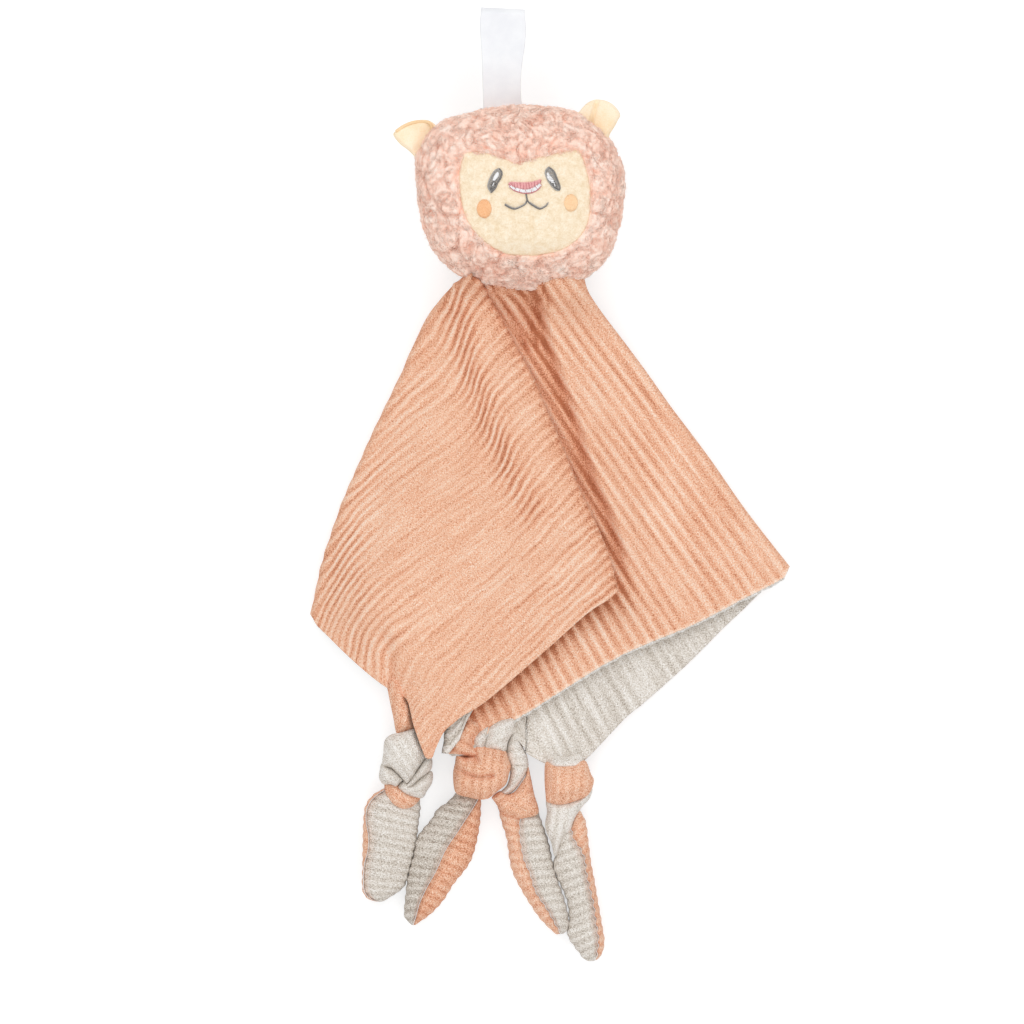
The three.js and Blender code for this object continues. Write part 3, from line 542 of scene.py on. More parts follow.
def layer_height(layer, p):
    """Middle height of a cloth layer over the plan."""
    height = np.full(p.shape[:-1], PAIR / 2 + PITCH * (len(folds) - 1 - layer))
    if layer == 0:
        # The front panel sags towards the surface, a little past the layers that lie under it
        past = (sample_field(fields["under"], p) - OVERHANG) / SAG_WIDTH
        sag = SAG_SLOPE * SAG_WIDTH * np.log1p(np.exp(past))
        height = height - PITCH * 4 * (1 - np.exp(-sag / (PITCH * 2.6)))
        height += swell("front", p, 2.2, 12.0) + swell("left", p, 1.4, 10.0)
        height -= swell("crease", p, 2.2, 3.0)
    if layer in (2, 3):
        # The right-hand panels come down by two layers where the others end
        height -= PITCH * 2 * smooth(p[..., 0] / 52.0) * 0.96
    if layer == 2:
        # A ridge beside the front panel, with a groove along its foot
        foot = sample_field(fields["foot"], p)
        fade = above(p, 585, 22.0)
        height += fade * 3.9 * smooth(foot / 4.2) * np.exp(-(np.maximum(foot - 3.0, 0) / 10.0) ** 2)
        height -= 0.9 * np.exp(-((foot + 0.4) / 1.2) ** 2) * fade
        height += swell("right", p, 1.6, 11.0) - swell("gather", p, 1.9, 1.6)
    if layer == 3:
        height -= swell("grey_crease", p, 1.6, 1.6)
    for raised, place, rise, width in neck_rises:
        if layer == raised:
            height += rise * np.exp(-((p - plan(place)) ** 2).sum(-1) / width ** 2)
    return ripple(p, height)


def rib_lines(p):
    """Rib number and distance along the rib on the right-hand panels, whose ribs fan out from the neck."""
    hem = rounded(hems[2][:-1], 200)
    run = np.concatenate([[0.0], np.cumsum(np.linalg.norm(np.diff(hem, axis=0), axis=1))])
    total = run[-1]
    start, finish = unit(hem[3] - hem[0]), unit(hem[-1] - hem[-4])

    def at(s):
        c = np.clip(s, 0, total)
        q = np.stack([np.interp(c, run, hem[:, 0]), np.interp(c, run, hem[:, 1])], -1)
        q += np.minimum(s, 0)[..., None] * start + np.maximum(s - total, 0)[..., None] * finish
        angle = np.radians(67 - 13 * smooth((s / total) * 0.9 + 0.08))
        return q, np.stack([-np.cos(angle), np.sin(angle)], -1)

    low = np.full(p.shape[:-1], -0.6 * total)
    high = np.full(p.shape[:-1], 1.3 * total)
    for _ in range(26):
        mid = (low + high) / 2
        q, d = at(mid)
        offset = p - q
        left = d[..., 0] * offset[..., 1] - d[..., 1] * offset[..., 0] > 0
        high = np.where(left, mid, high)
        low = np.where(left, low, mid)
    q, d = at((low + high) / 2)
    return (low + high) / 2, np.sum((p - q) * d, -1)


# Rib directions on the front panel: x and y in the photograph, then degrees above the horizontal
front_guides = [
    (450, 300, 55), (470, 300, 60), (485, 310, 55), (430, 332, 58), (450, 335, 66), (470, 345, 62),
    (490, 340, 48), (410, 370, 57), (430, 370, 42), (450, 365, 50), (470, 372, 64), (490, 378, 52),
    (508, 378, 40), (390, 400, 55), (410, 405, 42), (430, 405, 34), (455, 408, 46), (473, 404, 64),
    (490, 402, 56), (510, 402, 44), (525, 404, 38), (370, 440, 57), (390, 440, 43), (420, 440, 36),
    (450, 440, 38), (478, 440, 50), (498, 440, 62), (515, 440, 50), (535, 438, 38), (355, 470, 60),
    (375, 475, 45), (400, 480, 37), (440, 480, 33), (480, 480, 40), (508, 472, 57), (530, 476, 48),
    (552, 480, 42), (335, 510, 62), (355, 510, 50), (380, 510, 40), (420, 520, 36), (460, 520, 36),
    (500, 512, 42), (530, 510, 52), (550, 512, 46), (572, 512, 42), (325, 545, 66), (345, 545, 56),
    (370, 550, 43), (420, 560, 34), (480, 560, 37), (530, 560, 42), (580, 560, 40), (318, 590, 64),
    (340, 590, 60), (360, 590, 54), (385, 585, 40), (430, 590, 35), (500, 600, 37), (560, 600, 38),
    (610, 600, 38), (322, 615, 74), (340, 615, 68), (360, 620, 64), (378, 618, 48), (400, 620, 36),
    (345, 640, 88), (362, 648, 88), (380, 645, 72), (400, 645, 42), (430, 650, 38), (500, 650, 41),
    (560, 640, 42), (372, 666, 104), (386, 672, 100), (402, 672, 50), (412, 700, 47), (430, 700, 42),
    (480, 690, 42), (430, 745, 48), (450, 720, 45)]
guide_places = np.array([g[:2] for g in front_guides], float)
guide_angles = np.radians([g[2] for g in front_guides])
GUIDE_REACH = 9.0
RIB_FREEDOM = 0.22


def solve_front_field():
    """Rib number over the front panel, level along the guides and one rib per pitch across them."""
    middles = field_grid(0.5, 1)
    spread = ((middles[..., None, :] - guide_places) ** 2).sum(-1)
    weight = np.exp(-spread / (2 * GUIDE_REACH ** 2)) + 1e-6 / (1 + spread)
    angle = (weight * guide_angles).sum(-1) / weight.sum(-1)
    tx, ty = np.cos(angle), -np.sin(angle)
    nx, ny = -np.sin(angle), -np.cos(angle)
    pitch = RIB_PITCH / PIXEL

    def gradient(f):
        a, b, c, d = f[:-1, :-1], f[1:, :-1], f[:-1, 1:], f[1:, 1:]
        return (b + d - a - c) / (2 * FIELD_STEP), (c + d - a - b) / (2 * FIELD_STEP)

    def spread_back(u, v):
        out = np.zeros(field_shape)
        k = 1 / (2 * FIELD_STEP)
        out[:-1, :-1] += (-u - v) * k
        out[1:, :-1] += (u - v) * k
        out[:-1, 1:] += (-u + v) * k
        out[1:, 1:] += (u + v) * k
        return out

    def apply(f):
        u, v = gradient(f)
        along = u * tx + v * ty
        across = (u * nx + v * ny) * RIB_FREEDOM
        return spread_back(along * tx + across * nx, along * ty + across * ny) + 1e-9 * f

    f = np.zeros(field_shape)
    residual = spread_back(nx * RIB_FREEDOM / pitch, ny * RIB_FREEDOM / pitch) - apply(f)
    step = residual.copy()
    energy = (residual ** 2).sum()
    for _ in range(1500):
        moved = apply(step)
        rate = energy / (step * moved).sum()
        f += rate * step
        residual -= rate * moved
        fresh = (residual ** 2).sum()
        if fresh < 1e-16:
            break
        step = residual + step * fresh / energy
        energy = fresh
    return f - f.min()


front_field = solve_front_field()


def front_ribs(p):
    """Rib number and rib strength on the front panel."""
    strength = 0.22 + swell("left", p, 0.70, 14.0) + swell("wave", p, 1.15, 7.5)
    strength += swell("corner", p, 0.7, 14.0) + swell("front", p, 0.30, 13.0)
    strength += 0.42 * smooth((p[..., 0] + 30) / 50) * smooth((-p[..., 1] - 5) / 35)
    strength *= 1 + 0.25 * noise2(p, 9.0)
    strength *= 1 + 0.5 * swell("wave", p, 1.0, 8.0) * noise2(p, 5.0, 9.0)
    side = np.tanh(sample_field(fields["wave"], p) * sample_field(wave_side, p) / 4.2)
    wander = 0.16 * noise2(p, 6.0, 5.0)
    return sample_field(front_field, p) * 1.13 - 0.55 * side * above(p, 508, 32.0) + wander, strength


def rib_profile(phase):
    """Height of a rib across its width, from none in the groove to one on top."""
    return (0.5 - 0.5 * np.cos(TURN * phase)) ** 0.8


def blanket_grid(shares):
    """Columns of the grid that both cloths share, with the heights of its bends."""
    columns = []
    for i, (name, side, coral, upper, lower) in enumerate(folds):
        line = lines[name]
        before, after = (resample(line, np.clip(shares + step, 0, 1)) for step in (-0.02, 0.02))
        ahead = unit(after - before)
        outward = np.stack([-ahead[:, 1], ahead[:, 0]], -1)
        outward *= np.where(outward[:, :1] * side < 0, -1, 1)
        centre = resample(line, shares) - outward * (PITCH / 2 + PAIR / 2 + RIB_HEIGHT)
        high, low = layer_height(upper, centre), layer_height(lower, centre)
        for step in range(BEND_STEPS + 1):
            turn = (0.5 - step / BEND_STEPS) * math.pi * (-1 if i == 0 else 1)
            columns.append(dict(kind="bend", centre=centre, out=outward, mid=(high + low) / 2,
                                half=(high - low) / 2, turn=turn, coral=coral, fold=i,
                                layer=upper if turn > 0 else lower))
        flats = layer_columns[i]
        columns += [dict(kind="flat", layer=i, t=(c + 1) / (flats + 1)) for c in range(flats)]
    return columns


row_shares = np.linspace(0, 1, ROWS) ** 0.96
grid = blanket_grid(row_shares)
hem_shares = {0: (0.040, 0.980), 2: (0.0, 0.960)}


def hem_point(layer, t):
    """A point on a layer's hem at a share of its length."""
    first, last = hem_shares.get(layer, (0.0, 1.0))
    return resample(rounded(hems[layer], 200), [first + (last - first) * t])[0]


# Down the rows, three of the bends shift to their corners, and every flat layer bows to its traced hem.
# By the number of a fold: how far its corner moves outwards, and where it ends on top
corners = {0: (np.array([-0.3, -2.0]), hem_point(0, 0.0)), 1: (np.array([0.0, -0.4]), hem_point(0, 1.0)),
           3: (np.array([0.3, -0.8]), hem_point(2, 1.0))}
bends = [[] for _ in folds]
for column in grid:
    if column["kind"] == "bend":
        if column["fold"] in corners:
            outermost, on_top = corners[column["fold"]]
            flatness = 1 - math.cos(column["turn"])
            reach = outermost * (1 - flatness)
            reach = reach + (on_top - column["centre"][-1]) * flatness * (column["turn"] > 0)
            column["centre"] = column["centre"] + row_shares[:, None] ** 2 * reach
        column["plan"] = column["centre"] + column["out"] * (PITCH / 2) * math.cos(column["turn"])
        bends[column["fold"]].append(column["plan"])
for column in grid:
    if column["kind"] == "flat":
        i, t = column["layer"], column["t"]
        following = (i + 1) % len(folds)
        a, b = bends[i][-1], bends[following][0]
        first = a[-1] if i == 0 else lines[folds[i][0]][-1]
        last = b[-1] if i in (0, 2) else lines[folds[following][0]][-1]
        bow = hem_point(i, t) - first * (1 - t) - last * t
        column["plan"] = a * (1 - t) + b * t + row_shares[:, None] ** 2 * bow
        column["height"] = layer_height(i, column["plan"])


def edge_calm(name, p):
    """Ribs lie flatter where the cloth turns over an outer edge."""
    return 1 - 0.6 * np.exp(-((np.maximum(sample_field(fields[name], p), 2.0) - 2.0) / 3.0) ** 2)


def rib_coordinates(column):
    """Rib number, distance along the rib and rib strength in a column of the grid."""
    p = column["plan"]
    layer = column["layer"]
    if layer in (2, 3):
        s, w = rib_lines(p)
        strength = 0.95 + 0.3 * noise2(p, 11.0)
        if layer == 2:
            strength = strength + 0.6 * np.exp(-((sample_field(fields["foot"], p) + 4.0) / 5.0) ** 2)
        return s / WIDE_PITCH, w, strength * (0.72 if layer == 2 else 0.4) * edge_calm("right", p)
    if layer == 0 or column.get("fold") == 0:
        v, strength = front_ribs(p)
        return v, p @ np.array([0.8, 0.6]), strength * edge_calm("left", p)
    return row_shares * 162.0 * 0.84 / RIB_PITCH, p[:, 0], np.full(len(p), 0.6)


def cloth_tone_and_painted_shade(column):
    """How far the colour departs from the plain knit. On the front panel it is painted shade over the front
    and left folds and the wave band. On the right-hand panel it is painted shade in the valley beside the
    ridge and along the gathers, plus a painted shadow under the front panel's hem. That panel's last rows are
    lighter, which is the overlocked edge's own colour.
    """
    p = column["plan"]
    if column["layer"] == 0:
        # Painted shade where the front panel turns over its folds and in its wave band.
        return -swell("front", p, 0.25, 6.0) - swell("left", p, 0.10, 6.0) - swell("wave", p, 0.12, 7.0)
    if column["layer"] == 2:
        foot = sample_field(fields["foot"], p)
        # Painted shade in the valley beside the ridge, darkest at the ridge's foot.
        valley_painted_shade = np.where(foot < 0, 0.65 * np.exp(-(foot / 8.0) ** 4) + 0.35 * np.exp(-(foot / 2.6) ** 2),
                             np.exp(-(foot / 1.6) ** 2))
        fade = above(p, 600, 22.0) * (1 - 0.55 * above(p, 340, 14.0)) * (1 - 0.24 * above(p, 400, -12.0))
        groove = 1 - rib_profile(column["rib"])
        # Painted shadow under the front panel's hem, deeper in the rib grooves.
        shade = np.exp(-sample_field(fields["hem"], p) / 3.3) * (0.32 + 0.56 * groove)
        edge = 0.38 * smooth((row_shares - 0.990) / 0.010)
        # The gathers get painted shade too; the edge is the overlock's own lighter colour.
        return -0.46 * valley_painted_shade * fade - swell("gather", p, 0.46, 1.0) - shade + edge - 0.03
    return np.zeros(len(p))


for column in grid:
    column["rib"], column["along"], column["strength"] = rib_coordinates(column)
    column["tone"] = cloth_tone_and_painted_shade(column)


def cloth_surface(offset, ribbed):
    """One face of a cloth, at an offset from the middle of the pair."""
    points = []
    fade = smooth(row_shares / 0.06) * 0.75 + 0.25
    for column in grid:
        rib = rib_profile(column["rib"]) * RIB_HEIGHT * ribbed * column["strength"]
        lift = offset + math.copysign(1.0, offset) * rib * fade
        if column["kind"] == "bend":
            spread = PITCH / 2 + column["coral"] * lift
            radius = column["half"] + column["coral"] * lift
            p = column["centre"] + column["out"] * (spread * math.cos(column["turn"]))[:, None]
            z = column["mid"] + radius * math.sin(column["turn"])
        else:
            p = column["plan"]
            z = column["height"] + (-1) ** column["layer"] * lift
        if offset < 0 and column["kind"] == "flat" and column["layer"] == 2:
            # The grey cloth's overlocked edge
            ragged = 0.85 + 0.5 * noise2(p, 1.1)
            p = p + (smooth((row_shares - 0.994) / 0.006) * ragged)[:, None] * np.array([0.45, -0.89])
            z = z + 2.0 * smooth((row_shares - 0.9975) / 0.0025)
        points.append(np.column_stack([p, np.maximum(z, 0.0)]))
    return np.stack(points, 1)


INNER_STEP = 4
inner_rows = np.unique(np.concatenate([np.arange(0, ROWS, INNER_STEP), [ROWS - 1]]))


def cloth(name, outer, inner, material):
    """A closed cloth: a fine outer face, an inner face with fewer rows, and the two edges between them."""
    rows, columns = outer.shape[:2]
    n, m = rows * columns, len(inner_rows) * columns
    j = np.arange(columns)
    k = (j + 1) % columns
    faces = [grid_faces(rows, columns), grid_faces(len(inner_rows), columns, n, True),
             np.stack([j + n, k + n, k, j], -1),
             np.stack([n - columns + j, n - columns + k, n + m - columns + k, n + m - columns + j], -1)]

    def both_faces(values):
        """Values of the grid's columns, for the points of the outer and then of the inner face."""
        values = np.stack(values, 1)
        return np.concatenate([values.ravel(), values[inner_rows].ravel()])

    uv = np.stack([both_faces([c[word] for c in grid]) for word in ("rib", "along")], -1)
    ribbing, tone = (both_faces([c[word] for c in grid]) for word in ("strength", "tone"))
    points = np.concatenate([outer.reshape(-1, 3), inner[inner_rows].reshape(-1, 3)])
    return make_mesh(name, points, faces, material, uv, np.clip(ribbing, 0, 1.35), tone)


near_face, far_face = GAP / 2, GAP / 2 + CLOTH
SUNK = 0.4
for side, word, node, material in ((1, "coral", "blanket_coral_face", coral_knit),
                                   (-1, "grey", "blanket_grey_lining", grey_knit)):
    piece = cloth(f"blanket_{word}_cloth", cloth_surface(side * (far_face - SUNK), 1.0),
                  cloth_surface(side * near_face, 0.0), material)
    stand_for(node)
    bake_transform(piece)

# Padded shapes


def dome(share):
    return np.sqrt(np.clip(1 - (1 - np.clip(share, 0, 1)) ** 2, 0, 1))


def dent(p, crease, depth, width):
    """How deep a crease along a traced line presses in."""
    return depth * np.exp(-(edge_distance(plan(crease), p, closed=False) / width) ** 2)


def lump_mesh(outline, low, high, edge, centre, angle=None, creases=(), rib_height=0.0, rings=26, columns=128,
              puff=0.4):
    """Points, faces and cloth map of a padded shape whose outline is traced in the photograph."""
    line = plan(rounded(outline, 160, closed=True))
    rim = resample(np.concatenate([line, line[:1]]), np.arange(columns) / columns)
    middle = plan(centre)
    share = np.sin(np.arange(1, rings + 1) / rings * math.pi / 2)
    p = middle + (rim[None] - middle) * share[:, None, None]
    rise = dome(edge_distance(rim, p) / edge)
    rise[-1] = 0
    phase, along = straight_ribs(p, angle) if angle is not None else (p[..., 1] / RIB_PITCH, p[..., 0])
    level, half = (low + high) / 2, (high - low) / 2
    top = level + half * rise + rib_profile(phase) * rib_height * rise + puff * noise2(p, 4.5) * rise
    for crease, depth, width in creases:
        top -= dent(p, crease, depth, width) * np.sqrt(rise)
    bottom = level - half * rise
    upper = np.concatenate([p, top[..., None]], -1).reshape(-1, 3)
    lower = np.concatenate([p, bottom[..., None]], -1)[:-1].reshape(-1, 3)
    peak = np.array([[*middle, top[0].mean()], [*middle, bottom[0].mean()]])
    uv = np.stack([phase, along], -1)
    uv = np.concatenate([uv.reshape(-1, 2), uv[:-1].reshape(-1, 2), uv[0].mean(0)[None], uv[0].mean(0)[None]])
    return np.concatenate([upper, lower, peak]), shell_faces(rings, rings - 1, columns, flip=True), uv


def join_parts(name, parts, material, ribbing=1.0, tone=0.0):
    """One mesh of several parts, each with its points, faces and cloth map."""
    starts = np.cumsum([0] + [len(p) for p, _, _ in parts])
    faces = [g + start for start, (_, f, _) in zip(starts, parts) for g in f]
    points = np.concatenate([p for p, _, _ in parts])
    return make_mesh(name, points, faces, material, np.concatenate([uv for _, _, uv in parts]),
                     np.full(len(points), ribbing), np.full(len(points), tone))


RIB_START = plan((500, 780))


def straight_ribs(p, degrees):
    """Rib number and distance along the ribs for straight ribs at an angle above the horizontal."""
    a = math.radians(degrees)
    q = p - RIB_START
    return ((-q[..., 0] * math.sin(a) + q[..., 1] * math.cos(a)) / RIB_PITCH,
            q[..., 0] * math.cos(a) + q[..., 1] * math.sin(a))


def loft_mesh(rings, uv):
    """A closed body through rings of points, with a pole at each end."""
    rows, columns = rings.shape[:2]
    points = np.concatenate([rings.reshape(-1, 3), rings[:1].mean(1), rings[-1:].mean(1)])
    n = rows * columns
    j = np.arange(columns)
    k = (j + 1) % columns
    tris = np.concatenate([np.stack([k, j, np.full(columns, n)], -1),
                           np.stack([n - columns + j, n - columns + k, np.full(columns, n + 1)], -1)])
    faces = [grid_faces(rows, columns), tris]
    return points, faces, np.concatenate([uv.reshape(-1, 2), uv[:1].mean(1), uv[-1:].mean(1)])


def tube_mesh(paths, radii, sides, up=(0, 0, 1)):
    """Round threads along paths of points, with a radius at every point."""
    paths = np.asarray(paths, float)
    count, steps = paths.shape[:2]
    radii = np.broadcast_to(radii, (count, steps))
    ahead = unit(np.gradient(paths, axis=1), 1e-12)
    side = unit(np.cross(ahead, np.asarray(up, float)), 1e-12)
    over = np.cross(side, ahead)
    turn = np.arange(sides) / sides * TURN
    rings = (paths[:, :, None] + radii[:, :, None, None]
             * (np.cos(turn)[:, None] * side[:, :, None] + np.sin(turn)[:, None] * over[:, :, None]))
    base = np.arange(count)[:, None] * steps * sides
    quads = (grid_faces(steps, sides)[None] + base[..., None]).reshape(-1, 4)
    ends = base + np.arange(sides)
    return rings.reshape(-1, 3), [quads[:, ::-1], ends, (ends + (steps - 1) * sides)[:, ::-1]]


# Knots

# Piece, node and cloth, then each lump's outline, underside, top, width of its rounded edge, middle, the
# ribs' angle above the horizontal and what else shapes it. A crease is a line, its depth and its width.
knots = [
    ("knot_1_coral", "knot_1_strand", "coral", [
        ([(387, 680), (389, 697), (393, 716), (397, 734), (406, 732), (417, 729), (417, 712), (412, 700),
         (406, 684), (396, 676)], 2, 13.5, 5, (402, 706), 80, dict(creases=[([(404, 690), (411, 706),
         (415, 730)], 2.5, 1.6)])),
        ([(385, 783), (392, 782), (399, 784), (408, 792), (420, 797), (416, 804), (410, 808), (402, 809.5),
         (394, 806), (388, 799), (385, 791)], 1.5, 12, 4, (400, 797), -35)]),
    ("knot_1_upper_wrap", "knot_1_wrap_1", "grey", [
        ([(397, 733), (390, 735), (384.5, 741), (383, 755), (382, 766), (390, 768), (396, 773), (403, 780),
         (407, 784), (413, 778), (419, 768), (425, 760), (425, 752), (421, 742), (417, 733), (413, 729),
         (405, 731)], 1.5, 17.5, 6, (403, 755), -55, dict(puff=0.6))]),
    ("knot_1_lower_wrap", "knot_1_wrap_2", "grey", [
        ([(382, 763), (379.5, 771), (379, 778), (383, 784), (391, 785), (396, 787), (403, 781), (408, 784),
         (402, 778), (395, 771), (389, 767)], 1, 15.5, 3.5, (391, 777), -45, dict(rings=18)),
        ([(431, 757), (425, 759), (418, 769), (410, 780), (404, 788), (411, 787), (419, 780), (430, 771),
         (432.5, 764)], 2, 15.8, 3, (420, 773), 50, dict(rings=18)),
        ([(397, 787), (404, 780), (411, 784), (420, 777), (430, 771), (433, 774), (432, 783), (427, 791),
         (423, 797.5), (415, 798), (406, 795), (400, 791)], 1, 14.5, 5, (414, 787), 20, dict(rings=20))]),
    ("knot_2_grey", "knot_2_strand", "grey", [
        ([(472, 740), (478, 731), (489, 725), (489, 735), (486, 746), (482, 752), (475, 748)], 2, 14.5, 3.5,
         (481, 738), None, dict(rings=18)),
        ([(489, 726), (503, 718), (515, 718), (514, 730), (508, 742), (505, 754), (495, 752), (484, 750),
         (485, 741)], 2, 15, 4, (499, 735), 20, dict(rings=20))]),
    ("knot_2_upper_wrap", "knot_2_wrap_1", "coral", [
        ([(452.5, 743), (456, 736), (460, 729), (468, 720), (478, 722), (480, 731), (474, 738), (474, 745),
         (480, 752), (476, 757), (466, 756), (457, 755), (452, 750)], 2.5, 17, 5, (465, 744), -25,
         dict(creases=[([(457, 737), (466, 742), (474, 746)], 1.2, 1.3)]))]),
    ("knot_2_lower_wrap", "knot_2_wrap_2", "coral", [
        ([(473, 747), (482, 745.5), (495, 747.5), (505, 750), (508, 758), (511, 766), (509, 774), (506, 784),
         (498, 791), (492, 796), (487, 799), (478, 799.5), (467, 797), (459, 795), (454.5, 790), (453, 774),
         (455, 763), (457, 755), (466, 756), (472, 754)], 1, 18, 7, (481, 773), 84, dict(puff=0.7,
         creases=[([(456, 768), (464, 772.5), (472, 776), (481, 777.5), (493, 776)], 2.6, 1.0), ([(463, 756),
         (470, 757), (475, 755), (478, 761)], 2.2, 1.1), ([(468, 779), (466, 792)], 0.9, 1.2)]))]),
    ("knot_3_grey", "knot_3_strand", "grey", [
        ([(508, 742), (514, 731), (520, 742), (527, 756), (528, 768), (519, 770), (511, 767), (506, 758)], 1,
         11.5, 4.5, (517, 753), 10, dict(rings=20)),
        ([(511, 765), (520, 764), (528, 766), (526, 774), (521, 782), (515, 790), (507, 795), (500, 793),
         (507, 785), (510, 775)], 1.5, 12.5, 4, (516, 777), 40, dict(rings=20))]),
    ("knot_3_wrap", "knot_3_wrap_1", "coral", [
        ([(528, 766), (531, 778), (534.5, 795), (538, 806), (538.5, 813), (533, 816.5), (523, 818.5),
         (515, 818), (507, 815), (500, 809), (494, 801), (492, 797), (500, 791), (508, 794), (515, 791),
         (521, 783), (526, 775)], 1, 14, 6, (520, 802), 38, dict(creases=[([(497, 798), (510, 806),
         (524, 812)], 0.9, 1.2)]))]),
    ("knot_4_grey", "knot_4_strand", "grey", [
        ([(553, 756), (566, 757), (578, 754), (584, 760), (584, 772), (556, 772), (549, 764)], 3, 13, 4,
         (567, 764), None, dict(rings=16))]),
    ("knot_4_grey_below", "knot_4_strand", "grey", [
        ([(546.5, 799), (547, 812), (545, 824), (547, 834), (551, 842), (555, 857), (560, 846), (564, 836),
         (570, 832), (575, 818), (583, 806), (590, 798), (592, 788), (580, 797), (560, 801)], 0.8, 12.5, 5,
         (561, 815), 80, dict(creases=[([(562, 812), (566, 824)], 0.7, 1.2)]))]),
    ("knot_4_wrap", "knot_4_wrap_1", "coral", [
        ([(545.5, 762.5), (552, 763.5), (562, 764), (573, 763.5), (579, 760.5), (585, 760.5), (588, 765),
         (591, 774), (594, 780.5), (591, 791), (586, 797), (574, 802), (564, 805), (556, 805), (547, 802),
         (545.5, 794), (544.5, 778)], 0.8, 16.5, 7, (568, 783), 86, dict(creases=[([(549, 797), (560, 799),
         (575, 795), (588, 788)], 0.9, 1.2), ([(549, 772), (548, 792)], 0.9, 1.2)]))])]
# Rows of the photograph listed for each strand, and each cloth's rib height and tone
strand_rows = {"knot_1_coral": (690, 722), "knot_2_grey": (724, 742), "knot_3_grey": (744, 764),
               "knot_4_grey": (757, 770)}
knot_cloths = {"coral": (coral_knot, 0.2, -0.06), "grey": (grey_knot, 0.12, 0.12)}
for name, node, word, lumps in knots:
    material, rib_height, tone = knot_cloths[word]
    parts = [lump_mesh(*sizes[:6], rib_height=rib_height, **dict(*sizes[6:])) for sizes in lumps]
    piece = join_parts(name, parts, material, 0.35, tone)
    stand_for(node)
    body = name[:6]
    if name in strand_rows:
        start, end = strand_rows[name]
        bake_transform(piece)
    elif name == "knot_4_grey_below":
        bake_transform(piece)
    else:
        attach(piece, body)

# Tails


def tail(name, outlines, grey_left=True, seam_wave=0.0, tone=0.0, low=0.2, height=10.0):
    """Two puffed halves of a knotted tail, each from an outer line to the seam between them."""
    left, seam, right = (plan(rounded(line, 90)) for line in outlines)
    rows, top_count, bottom_count = 120, 22, 10
    t = (1 - np.cos(np.linspace(0.0, 1.0, rows) * math.pi)) / 2 * 0.6 + np.linspace(0, 1, rows) * 0.4
    a, s, b = resample(left, t), resample(seam, t), resample(right, t)
    across = unit(b - a, 1e-6)
    phase = t * np.linalg.norm(np.diff(seam, axis=0), axis=1).sum() / RIB_PITCH
    s = s + across * (seam_wave * np.sin(phase * TURN))[:, None]
    taper = np.clip(1 - np.abs(2 * t - 1) ** 7, 0.02, 1) ** 0.5
    widest = low + height * 0.40
    pieces = []
    for outer, sign, grey in ((a, -1, grey_left), (b, 1, not grey_left)):
        edge = outer + across * (sign * rib_profile(phase) * 0.42 * taper)[:, None]
        inner = s + across * sign * 0.12
        ring = []
        for k in range(top_count + bottom_count):
            inward = k / (top_count - 1) if k < top_count else 1 - (k - top_count + 1) / (bottom_count + 1)
            place = inner + (edge - inner) * (1 - inward)
            fat = np.sqrt(np.clip(1 - (1 - inward) ** 2.3, 0, 1)) * taper
            if k < top_count:
                seam_dip = 1 - 0.38 * np.exp(-(inward - 1) ** 2 / 0.02)
                z = widest + height * 0.60 * fat * seam_dip
                z = z + rib_profile(phase + sign * 0.25 * (1 - inward)) * 0.26 * fat
                z = z + 0.3 * noise2(place, 3.5, 3.0) * fat
            else:
                z = widest - height * 0.40 * fat
            ring.append(np.column_stack([place, np.maximum(z, 0.05)]))
        ring = np.stack(ring[::-sign], 1)
        uv = np.stack([np.repeat(phase[:, None], ring.shape[1], 1),
                       np.broadcast_to(np.linspace(0, 14, ring.shape[1]), (rows, ring.shape[1]))], -1)
        word, material = ("grey", grey_knot) if grey else ("coral", coral_knot)
        piece = join_parts(f"{name}_{word}_half", [loft_mesh(ring, uv)], material, 0.5, tone)
        stand_for(f"{name}_{word}")
        pieces.append(piece)
    return pieces


tail_lines = {
    "tail_1": [[(387, 787), (373.5, 795), (366, 806), (364, 820), (363.3, 842), (363, 866), (363, 890),
                (369, 899), (379, 902)],
               [(388, 788), (375, 796.5), (367.5, 807), (366, 820), (368.5, 836), (368, 850), (364, 867),
                (364, 890), (371, 899), (380, 902)],
               [(419, 796), (420, 808), (418, 824), (416, 842), (413, 856), (409, 872), (405, 884),
                (399, 891), (384, 901)]],
    "tail_2": [[(459, 790), (448, 802), (438, 809), (432, 819), (422, 831), (416, 841), (414, 855),
                (411, 864), (408, 878), (406.5, 890), (405, 905), (405, 917), (412, 925)],
               [(480, 790), (477, 801), (460, 828), (446, 849), (436, 871), (427, 887), (420, 902),
                (416, 916), (413, 925)],
               [(482, 790), (480.5, 803), (480, 818), (476.5, 840), (471, 859), (463.5, 871), (453, 884),
                (443, 900), (430, 914), (415, 925)]],
    "tail_3": [[(497, 802), (502, 822), (507, 838), (510, 859), (513.5, 873), (522, 890), (532.5, 907),
                (541, 919), (555, 933), (560, 934)],
               [(519, 808), (520, 822), (520, 836), (524, 859), (530, 873), (536, 892), (547, 909),
                (556, 925), (561, 934)],
               [(537, 808), (541, 821), (545, 832), (549, 846), (552.5, 864), (557, 880), (563.5, 898),
                (568, 917), (568.5, 928), (563, 934)]],
    "tail_4": [[(556, 828), (556, 842), (555, 857), (553, 866), (557, 877), (562, 887), (567.5, 901),
                (569.5, 918), (568, 935), (579, 952), (586, 960), (593, 961)],
               [(571, 822), (573, 838), (579, 847), (584.5, 858), (586, 871), (590, 890), (593.5, 904),
                (595.5, 921), (598, 935), (598, 946), (596, 960)],
               [(578, 808), (585, 821), (588, 842), (590.5, 862), (594.5, 883), (598, 904), (601.5, 924),
                (604, 941), (602, 953), (598, 959)]]}
